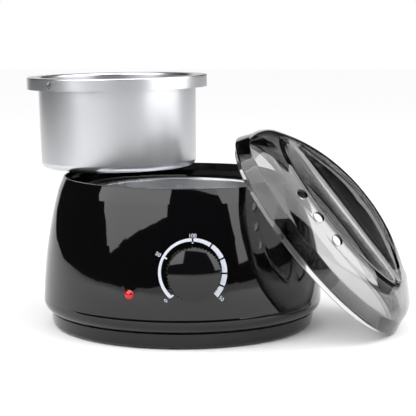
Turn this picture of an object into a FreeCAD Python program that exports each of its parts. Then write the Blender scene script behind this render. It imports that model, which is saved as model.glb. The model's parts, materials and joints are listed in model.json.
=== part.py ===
"""Candle wax melter: a glossy round warmer, its lift-out aluminium pot and its clear smoked lid.

Units are millimetres and degrees.  The origin is on the table, under the warmer's own axis;
+X is to the right, +Y to the back and +Z up.  The pot stands on the warmer's rim and the lid
leans against it, as when the pot is set out to be filled.
"""
import FreeCAD
import Part
import math
import os

V = FreeCAD.Vector

# ---- clearances ---------------------------------------------------------------------------
FACE_GAP = 0.05          # between flat faces that rest on each other
SEAT_GAP = 0.3           # between curved faces that seat on each other
RUN_GAP = 0.04           # radial, a shaft in its bush
THREAD_GAP = 0.03        # radial, a thread in its nut or pilot hole
REST_GAP = 0.3           # between the leaning lid and the rim it leans on
TABLE_GAP = 0.02         # under the lid's lowest edge
SKIRT_GAP = 0.3          # radial, the lid's skirt in the mouth
THERMOSTAT_GAP = 1.3     # between the thermostat and the felt
COLUMN_GAP = 1.8         # between the columns and the felt

# ---- housing ------------------------------------------------------------------------------
R_WIDE = 94.9            # widest radius, at the crease low on the wall
Z_WIDE = 20.5
R_SHOULDER = 84.6
Z_SHOULDER = 92.0
RIM_STEP = 3.6           # how far the rim stands in from the shoulder
Z_RIM = 101.4
R_SEAM = 89.7            # where the rolled lower edge ends
SEAM_WIDTH = 0.6
WALL_BULGE = 2.1
SHOULDER_BULGE = 0.15
ROLL_BULGE = 2.1
WAIST_STEP = 0.3         # of the rolled lower edge, in under the wall
WALL = 2.5
RIM_WALL = 1.3
RIM_ROUND = 0.5
MOUTH_DEPTH = 5.2        # straight wall inside the rim
MOUTH_WALL = 1.7         # of the housing, beside the deck's outer edge

# ---- deck between the mouth and the well --------------------------------------------------
DECK_FALL = 6.0          # of the sloping deck, from the mouth to its land
DECK_WALL = 2.5
LAND_WIDTH = 2.0         # flat ring round the deck's hole

# ---- plinth, feet and posts ---------------------------------------------------------------
R_PLINTH = 90.1
PLINTH_DRAFT = 1.0
Z_PLINTH = 1.0
Z_SEAM = 10.3
PLINTH_ROUND = 2.3
PLINTH_FLOOR = 2.4
LIP_WALL = 1.8
LIP_HEIGHT = 3.7
POST_R = 4.0
POST_AZIMUTHS = (-40.0, 50.0, 140.0, 230.0)
POST_Z = 12.0
POST_HOLE_DEPTH = 16.0
SCREW_R = 1.45
SCREW_HEAD_R = 3.0
SCREW_HEAD_HEIGHT = 2.1
SCREW_LENGTH = 18.0
SCREW_SEAT_Z = 4.6
FOOT_R = 6.0
FOOT_HEIGHT = 2.2
FOOT_CIRCLE = 66.0
VENT_COUNT = 12
VENT_CIRCLE = 42.0
VENT_LENGTH = 16.0
VENT_WIDTH = 3.0

# ---- fixed well and its heater ------------------------------------------------------------
WELL_R = 58.3
WELL_WALL = 1.2
WELL_FLOOR_Z = 31.8      # underside
WELL_CORNER = 5.0
LIP_BEAD_R = 2.1
STUD_R = 2.5
STUD_LENGTH = 14.0
BAND_Z = 38.0
BAND_HEIGHT = 30.0
BAND_THICK = 2.3
BAND_SPLIT = 10.0
STRAP_THICK = 0.8
STRAP_HEIGHT = 12.0
LUG_SPACING = 14.0
LUG_REACH = 11.5
STRAP_BOLT_R = 1.9
TERMINAL_R = 1.8
TERMINAL_LENGTH = 4.0
TERMINAL_AZIMUTH = 9.0   # from the split
TERMINAL_Z = 42.0
FELT_THICK = 4.0
FELT_Z = 36.0
FELT_HEIGHT = 48.0
FELT_WINDOW = 28.0
BRIDGE_THICK = 1.2
BRIDGE_WIDTH = 16.0
BRIDGE_FLANGE = 6.0
COLUMN_R = 4.0
COLUMN_SINK = 0.9        # of a column's top, below the deck's surface
COLUMN_Z = 24.2
NUT_HEIGHT = 4.0
NUT_FLATS = 8.0
FUSE_R = 2.0
FUSE_LENGTH = 12.0
FUSE_X = 30.0
FUSE_LEAD_R = 0.5
FUSE_LEAD_LENGTH = 4.0
CLIP_THICK = 0.5
CLIP_WIDTH = 8.0
CLIP_STUD_X = 22.0
CLIP_STUD_R = 1.5
CLIP_NUT_FLATS = 5.5
CLIP_NUT_HEIGHT = 2.4

# ---- control: thermostat, knob, dial ------------------------------------------------------
KNOB_AZIMUTH = -85.0
KNOB_Z = 50.1
KNOB_TILT = 4.0          # of the knob's axis, up from the level
THERMOSTAT_WIDTH = 30.0
THERMOSTAT_HEIGHT = 24.0
BOSS_R = 10.0
BOSS_DEPTH = 7.0         # from the skin's outside to the boss's face
BUSH_R = 4.0
BUSH_REACH = 3.6
PANEL_NUT_FLATS = 11.0
PANEL_NUT_HEIGHT = 2.2
PANEL_NUT_LIFT = 0.75    # over the curved skin
TAB_WIDTH = 6.3
TAB_THICK = 0.8
TAB_LENGTH = 8.0
TAB_SPACING = 14.0
SHAFT_R = 3.0
SHAFT_BACK = 19.9
SHAFT_REACH = 10.5
SHAFT_FLAT = 1.9         # from the shaft's axis
KNOB_R = 17.4
KNOB_FACE_R = 17.0
KNOB_LIFT = 1.2
KNOB_TOP = 14.2
KNOB_DOME_R = 38.0
KNOB_GATE_R = 0.6        # flat where the mould's gate was, on the crown
KNOB_ROUND = 0.7
KNOB_WALL = 2.4
KNOB_CAP = 2.4           # at the edge of the domed cap
KNOB_BOSS_R = 5.2
KNOB_BOSS_LIFT = 4.0
FLUTE_COUNT = 48
FLUTE_R = 0.85
FLUTE_DEPTH = 0.65
POINTER_ANGLE = 81.0     # clockwise from the top, at rest
POINTER_START = 6.5      # from the knob's axis
POINTER_WIDTH = 0.8
POINTER_DEPTH = 0.3
NOTCH_LENGTH = 1.3       # at the pointer's outer end
NOTCH_WIDTH = 1.2
NOTCH_DEPTH = 1.2
SCALE_R = 21.6
SCALE_WIDTH = 2.5        # of the printed band, on average
SCALE_ECCENTRICITY = 0.9
SCALE_THICK_ANGLE = 120.0
SCALE_START = -137.5
SCALE_END = 135.4
SCALE_FIRST_STEP = 34.6
SCALE_STEP_SHRINK = 3.9
SCALE_BLOCKS = 5
SCALE_GAP = 1.1
SCALE_PROUD = 0.25
TICK_REACH = 0.8         # of the ticks, in from the band
TICK_WIDTH = 0.95
ON_TICK_ANGLE = -61.0

# ---- indicator ----------------------------------------------------------------------------
LENS_AZIMUTH = -109.8
LENS_Z = 35.6
LENS_R = 3.05
LENS_FLANGE_R = 4.0
LENS_FLANGE = 1.3
LENS_PROUD = 1.9
LENS_SEAT = 3.15         # flange's front, from the skin's outside
LAMP_BOSS_R = 5.6
LAMP_BOSS_DEPTH = 8.0
LAMP_R = 2.3
LAMP_LENGTH = 9.1
LAMP_FRONT_GAP = 0.35    # between the lamp's round end and the lens
HOLDER_LENGTH = 7.4
HOLDER_FLANGE = 1.5

# ---- mains side ---------------------------------------------------------------------------
BLOCK_SIZE = (30.0, 16.0, 13.0)
BLOCK_Y = 58.0
BLOCK_PITCH = 9.0
BLOCK_HOLE_R = 1.4
BLOCK_SCREW_R = 1.6
BUSHING_AZIMUTH = 90.0
BUSHING_Z = 34.0
BUSHING_HOLE_R = 5.5
BUSHING_BORE_R = 3.4
BUSHING_FLANGE_R = 7.5
BUSHING_FLANGE = 2.0
BUSHING_INNER_FLANGE = 1.6
WIRE_R = 0.9
WIRE_END = 0.25          # between a lead's end and what it is joined to
WIRE_STRAIGHT = 8.0      # run of a lead straight out of a terminal
LIVE_ROUTE = ((-9, 20, 12), (-6, -30, 11), (-1, -64, 10))
SWITCHED_ROUTE = ((22, -60, 11), (44, 0, 10), (40, 44, 12), (24, 70, 24))
NEUTRAL_ROUTE = ((14, 42, 11), (27, 30, 20), (30, 20, 29))
FUSED_ROUTE = ((30, -19, 29), (4, -40, 18), (-36, -10, 12), (-44, 30, 12), (-24, 70, 24))
LAMP_ROUTE = ((-22, -46, 6.5), (-19, 0, 6.2), (-5, 34, 7))

# ---- lift-out pot -------------------------------------------------------------------------
POT_R = 56.3             # under the flange
POT_BASE_R = 55.5
POT_HEIGHT = 64.6
POT_WALL = 1.8
POT_FLOOR = 2.0
POT_CORNER = 4.5
FLANGE_R = 64.3
FLANGE_HEIGHT = 8.3
FLANGE_THICK = 1.8
FLANGE_ROUND = 0.8
BAIL_HOLE_R = 2.35
BAIL_HOLE_AZIMUTH = -132.7
POT_X = -46.7
POT_Y = 56.0
POT_LEAN = 1.0           # its right side stands a little high

# ---- lid ----------------------------------------------------------------------------------
LID_LEAN = 49.9          # of its axis, from the vertical
LID_AZIMUTH = -13.0      # towards which its outside faces
LID_SPIN = -6.7          # of the grip bar, from the line of steepest fall
LID_OVERHANG = 2.8       # of the lid's band, past the rim
LID_BAND = 8.95
LID_EDGE = 0.4           # chamfer of the band's lower edge
BAND_DRAFT = 3.9         # how far the band leans in over its height
DOME_RISE = 32.9
DOME_FLATNESS = 53.1     # radius of the crown's arc, past the crease's radius
DOME_SHOULDER_R = 16.3
LID_WALL = 2.2
SKIRT_WALL = 1.0
SKIRT_DEPTH = 3.8
GRIP_HALF = 8.0          # half the bar's width at its foot
SCOOP_INSET = 14.9       # of the scoops, from the crease
SCOOP_FLOOR = 16.2       # over the crease
SCOOP_CORNER = 14.0
SCOOP_ROUND = 4.0
VENT_HOLE_R = 3.75
VENT_HOLE_INSET = 10.5   # from the crease
VENT_HOLE_HEIGHT = 13.35  # over the crease
VENT_HOLE_TILT = 31.4    # of its axis, from the lid's
VENT_HOLE_STEP = 15.15
VENT_ROW_TURN = -0.7     # of the middle hole, from square to the grip bar

# ---- worked out from the above ------------------------------------------------------------
R_RIM = R_SHOULDER - RIM_STEP
R_MOUTH = R_RIM - RIM_WALL
Z_DECK = Z_RIM - MOUTH_DEPTH
Z_LAND = Z_DECK - DECK_FALL
WELL_OUTER = WELL_R + WELL_WALL
R_BEAD = WELL_R + LIP_BEAD_R
R_LAND = R_BEAD + LIP_BEAD_R + 0.5
R_DECK_HOLE = R_LAND - LAND_WIDTH
Z_BEAD = Z_LAND + 0.7
DECK_R = R_SHOULDER - (R_SHOULDER - R_RIM) * (Z_DECK - Z_SHOULDER) / (Z_RIM - Z_SHOULDER) - MOUTH_WALL
DECK_SLOPE = DECK_FALL / (R_MOUTH - R_LAND)
POST_CIRCLE = R_SHOULDER - POST_R - 0.6
POST_TOP = Z_DECK - (R_MOUTH - POST_CIRCLE + POST_R) * DECK_SLOPE - DECK_WALL - SEAT_GAP
BAND_R = WELL_OUTER + 0.2
STRAP_R = BAND_R + BAND_THICK + 0.1
STRAP_Z = BAND_Z + (BAND_HEIGHT - STRAP_HEIGHT) / 2
FELT_R = STRAP_R + STRAP_THICK + SEAT_GAP
FELT_OUTER = FELT_R + FELT_THICK
COLUMN_CIRCLE = FELT_OUTER + COLUMN_GAP + COLUMN_R
FUSE_Z = WELL_FLOOR_Z - FACE_GAP - FUSE_R
FLOOR_TOP = Z_PLINTH + PLINTH_FLOOR
LID_R = R_RIM + LID_OVERHANG
CREASE_R = LID_R - BAND_DRAFT
DOME_R = CREASE_R + DOME_FLATNESS
SKIRT_R = R_MOUTH - SKIRT_GAP
SCOOP_R = CREASE_R - SCOOP_INSET
VENT_HOLE_CIRCLE = CREASE_R - VENT_HOLE_INSET


# ---- shape helpers ------------------------------------------------------------------------
def lathe(start, *steps):
    """Turn a closed outline about Z.  A step is a point (r, z), or (middle, end) for an arc."""
    edges = []
    here = V(start[0], 0, start[1])
    for step in steps + (start,):
        is_arc = isinstance(step[0], tuple)
        end = step[1] if is_arc else step
        there = V(end[0], 0, end[1])
        if is_arc:
            middle = V(step[0][0], 0, step[0][1])
            edges.append(Part.Arc(here, middle, there).toShape())
        elif here.distanceToPoint(there) > 1e-6:
            edges.append(Part.makeLine(here, there))
        here = there
    return Part.Face(Part.Wire(edges)).revolve(V(), V(0, 0, 1), 360)


def bulge(p, q, sagitta):
    """Middle of the arc from p to q that stands out by sagitta, on the right of the way there."""
    dr, dz = q[0] - p[0], q[1] - p[1]
    length = math.hypot(dr, dz)
    return ((p[0] + q[0]) / 2 + sagitta * dz / length,
            (p[1] + q[1]) / 2 - sagitta * dr / length)


def cap(radius, low, high):
    """Middle and top of the arc that closes a round cap over the axis, from (radius, low)."""
    rise = high - low
    reach = (radius ** 2 + rise ** 2) / (2 * rise)
    foot = math.degrees(math.atan2(reach - rise, radius))
    return corner((0, high - reach), reach, (90 + foot) / 2), (0, high)


def corner(centre, radius, angle):
    """A point on a round corner's arc."""
    turn = math.radians(angle)
    return (centre[0] + radius * math.cos(turn), centre[1] + radius * math.sin(turn))


def cylinder(radius, low, high, x=0.0, y=0.0):
    return Part.makeCylinder(radius, high - low, V(x, y, low))


def tube(inner, outer, low, high, x=0.0, y=0.0):
    return cylinder(outer, low, high, x, y).cut(cylinder(inner, low - 1, high + 1, x, y))


def block(x, y, z):
    """A box from three (low, high) pairs."""
    return Part.makeBox(x[1] - x[0], y[1] - y[0], z[1] - z[0], V(x[0], y[0], z[0]))


def hexagon(flats, low, high, x=0.0, y=0.0):
    reach = flats / math.sqrt(3)
    points = [V(x + reach * math.cos(math.radians(a)), y + reach * math.sin(math.radians(a)), low)
              for a in range(0, 361, 60)]
    return Part.Face(Part.makePolygon(points)).extrude(V(0, 0, high - low))


def fuse_all(shapes):
    whole = shapes[0]
    for shape in shapes[1:]:
        whole = whole.fuse(shape)
    return whole.removeSplitter()


def cut_all(shape, tools):
    for tool in tools:
        shape = shape.cut(tool)
    return shape


def turned(shape, azimuth):
    """A copy turned about Z."""
    copy = shape.copy()
    copy.rotate(V(), V(0, 0, 1), azimuth)
    return copy


def placed(shape, placement):
    copy = shape.copy()
    copy.Placement = placement.multiply(copy.Placement)
    return copy


def frame_of(origin, right, up, outward):
    return FreeCAD.Placement(FreeCAD.Matrix(
        right.x, up.x, outward.x, origin.x,
        right.y, up.y, outward.y, origin.y,
        right.z, up.z, outward.z, origin.z,
        0, 0, 0, 1))


def pan_screw(length):
    """A self-tapping screw that points up, with the underside of its head at z = 0."""
    head = lathe((0, -SCREW_HEAD_HEIGHT),
                 (SCREW_HEAD_R - 1.2, -SCREW_HEAD_HEIGHT),
                 (corner((SCREW_HEAD_R - 1.2, -0.9), 1.2, -45), (SCREW_HEAD_R, -0.9)),
                 (SCREW_HEAD_R, 0), (SCREW_R, 0), (SCREW_R, length - 2), (0.3, length), (0, length))
    slot = block((-1.9, 1.9), (-0.35, 0.35), (-SCREW_HEAD_HEIGHT - 1, -SCREW_HEAD_HEIGHT + 0.9))
    return head.cut(slot).cut(turned(slot, 90))


# ---- the housing's wall -------------------------------------------------------------------
WALL_FOOT = (R_WIDE, Z_WIDE)
WALL_TOP = (R_SHOULDER, Z_SHOULDER)


def wall_circle():
    """Centre (r, z) and radius of the arc of the main wall."""
    middle = bulge(WALL_FOOT, WALL_TOP, WALL_BULGE)
    arc = Part.Arc(V(*WALL_FOOT, 0), V(*middle, 0), V(*WALL_TOP, 0)).toShape().Curve
    return arc.Center.x, arc.Center.y, arc.Radius


def panel(azimuth, height):
    """Frame on the outside of the main wall: x to the right, y up, z out along the normal."""
    centre_r, centre_z, radius = wall_circle()
    tilt = math.asin((height - centre_z) / radius)
    skin = centre_r + radius * math.cos(tilt)
    turn = math.radians(azimuth)
    outward = V(math.cos(turn) * math.cos(tilt), math.sin(turn) * math.cos(tilt), math.sin(tilt))
    right = V(-math.sin(turn), math.cos(turn), 0)
    origin = V(skin * math.cos(turn), skin * math.sin(turn), height)
    return frame_of(origin, right, outward.cross(right), outward)


def wall_steps(inset):
    """The wall from its foot up to the shoulder, moved in by inset."""
    foot = (R_WIDE - inset, Z_WIDE)
    top = (R_SHOULDER - inset, Z_SHOULDER)
    return foot, (bulge(foot, top, WALL_BULGE), top)


def levelled(frame, tilt):
    """A wall frame turned about its x axis until z points up by tilt."""
    outward = frame.Rotation.multVec(V(0, 0, 1))
    more = math.degrees(math.asin(outward.z)) - tilt
    return frame.multiply(FreeCAD.Placement(V(), FreeCAD.Rotation(V(1, 0, 0), more)))


KNOB_FRAME = levelled(panel(KNOB_AZIMUTH, KNOB_Z), KNOB_TILT)
LENS_FRAME = panel(LENS_AZIMUTH, LENS_Z)
BUSHING_FRAME = panel(BUSHING_AZIMUTH, BUSHING_Z)


def thermostat_depth():
    """Depth of the thermostat's case, which reaches from its boss almost to the felt."""
    outward = KNOB_FRAME.Rotation.multVec(V(0, 0, 1))
    level = math.hypot(outward.x, outward.y)
    skin = math.hypot(KNOB_FRAME.Base.x, KNOB_FRAME.Base.y)
    upper_edge = THERMOSTAT_HEIGHT / 2 * outward.z
    return (skin - upper_edge - FELT_OUTER - THERMOSTAT_GAP) / level - BOSS_DEPTH - FACE_GAP


def column_top():
    """Height at which a column ends, just under the deck's surface at its inner side."""
    return Z_LAND + (COLUMN_CIRCLE - COLUMN_R - R_LAND) * DECK_SLOPE - COLUMN_SINK


THERMOSTAT_DEPTH = thermostat_depth()


def post_places():
    return [(POST_CIRCLE * math.cos(math.radians(a)), POST_CIRCLE * math.sin(math.radians(a)))
            for a in POST_AZIMUTHS]


def housing_skin():
    low = Z_SEAM + SEAM_WIDTH
    seam = (R_SEAM, low)
    foot, wall = wall_steps(0)
    shoulder_end = (R_RIM, Z_RIM - RIM_ROUND)
    rim_round = (R_RIM - RIM_ROUND, Z_RIM - RIM_ROUND)
    inner_foot, inner_wall = wall_steps(WALL)
    inner_seam = (R_SEAM - WALL, low)
    waist = (R_WIDE - WAIST_STEP, Z_WIDE - WAIST_STEP)
    seat = DECK_R + SEAT_GAP
    return lathe(
        seam,
        (bulge(seam, waist, ROLL_BULGE), waist),
        (corner((waist[0], Z_WIDE), WAIST_STEP, -45), foot),
        wall,
        (bulge(WALL_TOP, shoulder_end, SHOULDER_BULGE), shoulder_end),
        (corner(rim_round, RIM_ROUND, 45), (rim_round[0], Z_RIM)),
        (R_MOUTH, Z_RIM),
        (R_MOUTH, Z_DECK),
        (seat, Z_DECK),
        (seat, Z_DECK - DECK_WALL),
        inner_wall[1],
        (inner_wall[0], inner_foot),
        (bulge(inner_seam, inner_foot, ROLL_BULGE), inner_seam))


def housing_shell():
    """Skin and mouth in one moulding, with its screw posts and bosses."""
    parts = [housing_skin()]
    parts += [cylinder(POST_R, POST_Z, POST_TOP, x, y) for x, y in post_places()]
    parts.append(placed(cylinder(BOSS_R, -BOSS_DEPTH, -1.0), KNOB_FRAME))
    parts.append(placed(cylinder(LAMP_BOSS_R, -LAMP_BOSS_DEPTH, -1.0), LENS_FRAME))
    holes = [cylinder(SCREW_R + THREAD_GAP, POST_Z - 1, POST_Z + POST_HOLE_DEPTH, x, y)
             for x, y in post_places()]
    holes.append(placed(cylinder(BUSH_R + 0.2, -BOSS_DEPTH - 1, 5), KNOB_FRAME))
    holes.append(placed(cylinder(LENS_R + 0.1, -LAMP_BOSS_DEPTH - 1, 5), LENS_FRAME))
    holes.append(placed(cylinder(LENS_FLANGE_R + 0.15, -LAMP_BOSS_DEPTH - 1, -LENS_SEAT + FACE_GAP),
                        LENS_FRAME))
    holes.append(placed(cylinder(BUSHING_HOLE_R, -WALL - 3, 5), BUSHING_FRAME))
    return cut_all(fuse_all(parts), holes)


def well_deck():
    """Sloping ring welded in under the mouth, on which the well hangs, with its two columns."""
    top = Z_DECK - FACE_GAP
    land = Z_LAND - FACE_GAP
    ring = lathe(
        (DECK_R, top), (R_MOUTH, top), (R_LAND, land), (R_DECK_HOLE, land),
        (R_DECK_HOLE, land - DECK_WALL), (R_LAND, land - DECK_WALL),
        (R_MOUTH, top - DECK_WALL), (DECK_R, top - DECK_WALL))
    columns = [cylinder(COLUMN_R, COLUMN_Z, column_top(), side * COLUMN_CIRCLE) for side in (1, -1)]
    holes = [cylinder(SCREW_R + THREAD_GAP, COLUMN_Z - 1, COLUMN_Z + POST_HOLE_DEPTH + 3,
                      side * COLUMN_CIRCLE) for side in (1, -1)]
    return cut_all(fuse_all([ring] + columns), holes)


def base_plinth():
    """Bottom cover: a shallow cup whose lip stands inside the housing."""
    lip_outer = R_SEAM - WALL - SEAT_GAP
    lip_inner = lip_outer - LIP_WALL
    foot_r = R_PLINTH - PLINTH_DRAFT
    round_centre = (foot_r - PLINTH_ROUND, Z_PLINTH + PLINTH_ROUND)
    cup = lathe(
        (0, Z_PLINTH),
        (round_centre[0], Z_PLINTH),
        (corner(round_centre, PLINTH_ROUND, -45), (foot_r, round_centre[1])),
        (R_PLINTH, Z_SEAM),
        (lip_outer, Z_SEAM),
        (lip_outer, Z_SEAM + LIP_HEIGHT),
        (lip_inner, Z_SEAM + LIP_HEIGHT),
        (lip_inner, FLOOR_TOP),
        (0, FLOOR_TOP))
    bosses = [cylinder(POST_R, Z_PLINTH, POST_Z - FACE_GAP, x, y) for x, y in post_places()]
    tools = []
    for x, y in post_places():
        tools.append(cylinder(SCREW_R + 0.25, 0, POST_Z + 1, x, y))
        tools.append(cylinder(SCREW_HEAD_R + 0.25, 0, SCREW_SEAT_Z, x, y))
    for azimuth in POST_AZIMUTHS:
        recess = cylinder(FOOT_R + 0.2, 0, FOOT_HEIGHT + FACE_GAP, FOOT_CIRCLE)
        tools.append(turned(recess, azimuth))
    slot = block((VENT_CIRCLE - VENT_LENGTH / 2, VENT_CIRCLE + VENT_LENGTH / 2),
                 (-VENT_WIDTH / 2, VENT_WIDTH / 2), (0, FLOOR_TOP + 1))
    step = 360.0 / VENT_COUNT
    tools += [turned(slot, step * (k + 0.5)) for k in range(VENT_COUNT)]
    return cut_all(fuse_all([cup] + bosses), tools)


def rubber_feet():
    foot = lathe((0, 0), (FOOT_R - 0.8, 0), (corner((FOOT_R - 0.8, 0.8), 0.8, -45), (FOOT_R, 0.8)),
                 (FOOT_R, FOOT_HEIGHT), (0, FOOT_HEIGHT))
    foot.translate(V(FOOT_CIRCLE, 0, 0))
    return Part.makeCompound([turned(foot, azimuth) for azimuth in POST_AZIMUTHS])


def base_screws():
    screws = []
    for x, y in post_places():
        screw = pan_screw(SCREW_LENGTH)
        screw.translate(V(x, y, SCREW_SEAT_Z - FACE_GAP))
        screws.append(screw)
    return Part.makeCompound(screws)


# ---- the fixed well and what is round it ---------------------------------------------------
def wax_well():
    """Spun aluminium cup with a rolled lip, its centre stud and the stud of the fuse clip."""
    base = WELL_FLOOR_Z
    top = base + WELL_WALL
    inner_corner = WELL_CORNER - WELL_WALL
    outer_centre = (WELL_OUTER - WELL_CORNER, base + WELL_CORNER)
    cup = lathe(
        (0, base),
        (outer_centre[0], base),
        (corner(outer_centre, WELL_CORNER, -45), (WELL_OUTER, outer_centre[1])),
        (WELL_OUTER, Z_BEAD),
        ((R_BEAD, Z_BEAD + LIP_BEAD_R - WELL_WALL), (R_BEAD + LIP_BEAD_R - WELL_WALL, Z_BEAD)),
        (R_BEAD + LIP_BEAD_R - WELL_WALL, Z_LAND + FACE_GAP),
        (R_BEAD + LIP_BEAD_R, Z_LAND + FACE_GAP),
        (R_BEAD + LIP_BEAD_R, Z_BEAD),
        ((R_BEAD, Z_BEAD + LIP_BEAD_R), (WELL_R, Z_BEAD)),
        (WELL_R, outer_centre[1]),
        (corner(outer_centre, inner_corner, -45), (outer_centre[0], top)),
        (0, top))
    stud = cylinder(STUD_R, base - STUD_LENGTH, base + WELL_WALL / 2)
    clip_stud = cylinder(CLIP_STUD_R, base - 3.8, base + WELL_WALL / 2, CLIP_STUD_X)
    return fuse_all([cup, stud, clip_stud])


def split_ring(inner, outer, low, high, opening):
    """A ring that is open at the back, opening wide."""
    ring = tube(inner, outer, low, high)
    return ring.cut(block((-opening / 2, opening / 2), (0, outer + 5), (low - 1, high + 1)))


def heater_band():
    return split_ring(BAND_R, BAND_R + BAND_THICK, BAND_Z, BAND_Z + BAND_HEIGHT, BAND_SPLIT)


def heater_terminals():
    """Two brass posts on the band, one each side of its split."""
    post = Part.makeCylinder(TERMINAL_R, TERMINAL_LENGTH,
                             V(BAND_R + BAND_THICK + FACE_GAP, 0, TERMINAL_Z), V(1, 0, 0))
    return Part.makeCompound([turned(post, 90 + side * TERMINAL_AZIMUTH) for side in (1, -1)])


def band_strap():
    """Steel strap round the band, with two lugs that its bolt draws together."""
    outer = STRAP_R + STRAP_THICK
    high = STRAP_Z + STRAP_HEIGHT
    ring = split_ring(STRAP_R, outer, STRAP_Z, high, LUG_SPACING)
    root = math.sqrt(STRAP_R ** 2 - (LUG_SPACING / 2) ** 2)
    lugs = []
    for side in (1, -1):
        near = side * LUG_SPACING / 2
        far = side * (LUG_SPACING / 2 + STRAP_THICK)
        lugs.append(block((min(near, far), max(near, far)), (root, root + LUG_REACH), (STRAP_Z, high)))
    hole = Part.makeCylinder(STRAP_BOLT_R + 0.2, 2 * LUG_SPACING,
                             V(-LUG_SPACING, root + LUG_REACH * 0.6, STRAP_Z + STRAP_HEIGHT / 2),
                             V(1, 0, 0))
    return fuse_all([ring] + lugs).cut(hole)


def strap_bolt():
    """Bolt and nut through the strap's lugs."""
    y = math.sqrt(STRAP_R ** 2 - (LUG_SPACING / 2) ** 2) + LUG_REACH * 0.6
    z = STRAP_Z + STRAP_HEIGHT / 2
    grip = LUG_SPACING / 2 + STRAP_THICK + FACE_GAP
    shank = cylinder(STRAP_BOLT_R, -grip - 4.0, grip + 0.1)
    head = hexagon(7.0, grip, grip + 2.8)
    bolt = fuse_all([shank, head])
    nut = hexagon(7.0, -grip - 3.0, -grip)
    nut = nut.cut(cylinder(STRAP_BOLT_R + THREAD_GAP, -grip - 4, -grip + 1))
    across = FreeCAD.Placement(V(0, y, z), FreeCAD.Rotation(V(0, 1, 0), 90))
    return Part.makeCompound([placed(bolt, across), placed(nut, across)])


def insulation_sleeve():
    return split_ring(FELT_R, FELT_OUTER, FELT_Z, FELT_Z + FELT_HEIGHT, FELT_WINDOW)


def retaining_bridge():
    """Steel channel across the columns, which holds the well down by its stud."""
    high = COLUMN_Z - FACE_GAP
    low = high - BRIDGE_THICK
    half = COLUMN_CIRCLE + COLUMN_R + 1.0
    side = BRIDGE_WIDTH / 2
    web = block((-half, half), (-side, side), (low, high))
    flanges = [block((-half + 10, half - 10), (min(a, b), max(a, b)), (low - BRIDGE_FLANGE, high))
               for a, b in ((side, side - BRIDGE_THICK), (-side, -side + BRIDGE_THICK))]
    holes = [cylinder(STUD_R + 0.2, low - 1, high + 1)]
    holes += [cylinder(SCREW_R + 0.25, low - 1, high + 1, sign * COLUMN_CIRCLE) for sign in (1, -1)]
    return cut_all(fuse_all([web] + flanges), holes)


def bridge_screws():
    screws = []
    for side in (1, -1):
        screw = pan_screw(SCREW_LENGTH)
        screw.translate(V(side * COLUMN_CIRCLE, 0, COLUMN_Z - 2 * FACE_GAP - BRIDGE_THICK))
        screws.append(screw)
    return Part.makeCompound(screws)


def well_nut():
    high = COLUMN_Z - 2 * FACE_GAP - BRIDGE_THICK
    nut = hexagon(NUT_FLATS, high - NUT_HEIGHT, high)
    return nut.cut(cylinder(STUD_R + THREAD_GAP, high - NUT_HEIGHT - 1, high + 1))


def thermal_fuse():
    """One-shot fuse against the underside of the well, with its two leads along Y."""
    def barrel(radius, half):
        return Part.makeCylinder(radius, 2 * half, V(FUSE_X, -half, FUSE_Z), V(0, 1, 0))
    lead = barrel(FUSE_LEAD_R, FUSE_LENGTH / 2 + FUSE_LEAD_LENGTH)
    return fuse_all([barrel(FUSE_R, FUSE_LENGTH / 2), lead])


def fuse_clip():
    """Spring strip on its stud, looped under the fuse."""
    inner = FUSE_R + 0.1
    outer = inner + CLIP_THICK
    half = CLIP_WIDTH / 2
    high = WELL_FLOOR_Z - FACE_GAP
    loop = Part.makeCylinder(outer, CLIP_WIDTH, V(FUSE_X, -half, FUSE_Z), V(0, 1, 0))
    loop = loop.cut(Part.makeCylinder(inner, CLIP_WIDTH, V(FUSE_X, -half, FUSE_Z), V(0, 1, 0)))
    loop = loop.common(block((FUSE_X - 5, FUSE_X + 5), (-half, half), (FUSE_Z - 5, FUSE_Z)))
    near = block((FUSE_X - outer, FUSE_X - inner), (-half, half), (FUSE_Z, high))
    far = block((FUSE_X + inner, FUSE_X + outer), (-half, half), (FUSE_Z, high))
    tab = block((CLIP_STUD_X - 3.5, FUSE_X - inner), (-half, half), (high - CLIP_THICK, high))
    strip = fuse_all([loop, near, far, tab])
    return strip.cut(cylinder(CLIP_STUD_R + 0.2, high - 2, high + 1, CLIP_STUD_X))


def clip_nut():
    high = WELL_FLOOR_Z - 2 * FACE_GAP - CLIP_THICK
    nut = hexagon(CLIP_NUT_FLATS, high - CLIP_NUT_HEIGHT, high, CLIP_STUD_X)
    return nut.cut(cylinder(CLIP_STUD_R + THREAD_GAP, high - CLIP_NUT_HEIGHT - 1, high + 1,
                            CLIP_STUD_X))


# ---- control -------------------------------------------------------------------------------
def thermostat_body():
    front = -BOSS_DEPTH - FACE_GAP
    half_width = THERMOSTAT_WIDTH / 2
    half_height = THERMOSTAT_HEIGHT / 2
    case = block((-half_width, half_width), (-half_height, half_height),
                 (front - THERMOSTAT_DEPTH, front))
    upright = [edge for edge in case.Edges if abs(edge.tangentAt(edge.FirstParameter).z) > 0.9]
    case = case.makeFillet(2.0, upright)
    bush = cylinder(BUSH_R, front - 0.5, BUSH_REACH)
    bore = cylinder(SHAFT_R + RUN_GAP, -SHAFT_BACK - 0.2, BUSH_REACH + 1)
    return placed(fuse_all([case, bush]).cut(bore), KNOB_FRAME)


def tab_places():
    """Local x of the thermostat's two push-on tabs."""
    return (-TAB_SPACING / 2, TAB_SPACING / 2)


def thermostat_tabs():
    depth = -BOSS_DEPTH - THERMOSTAT_DEPTH / 2
    high = -THERMOSTAT_HEIGHT / 2 - FACE_GAP
    tabs = [block((x - TAB_WIDTH / 2, x + TAB_WIDTH / 2), (high - TAB_LENGTH, high),
                  (depth - TAB_THICK / 2, depth + TAB_THICK / 2)) for x in tab_places()]
    return placed(Part.makeCompound(tabs), KNOB_FRAME)


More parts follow.
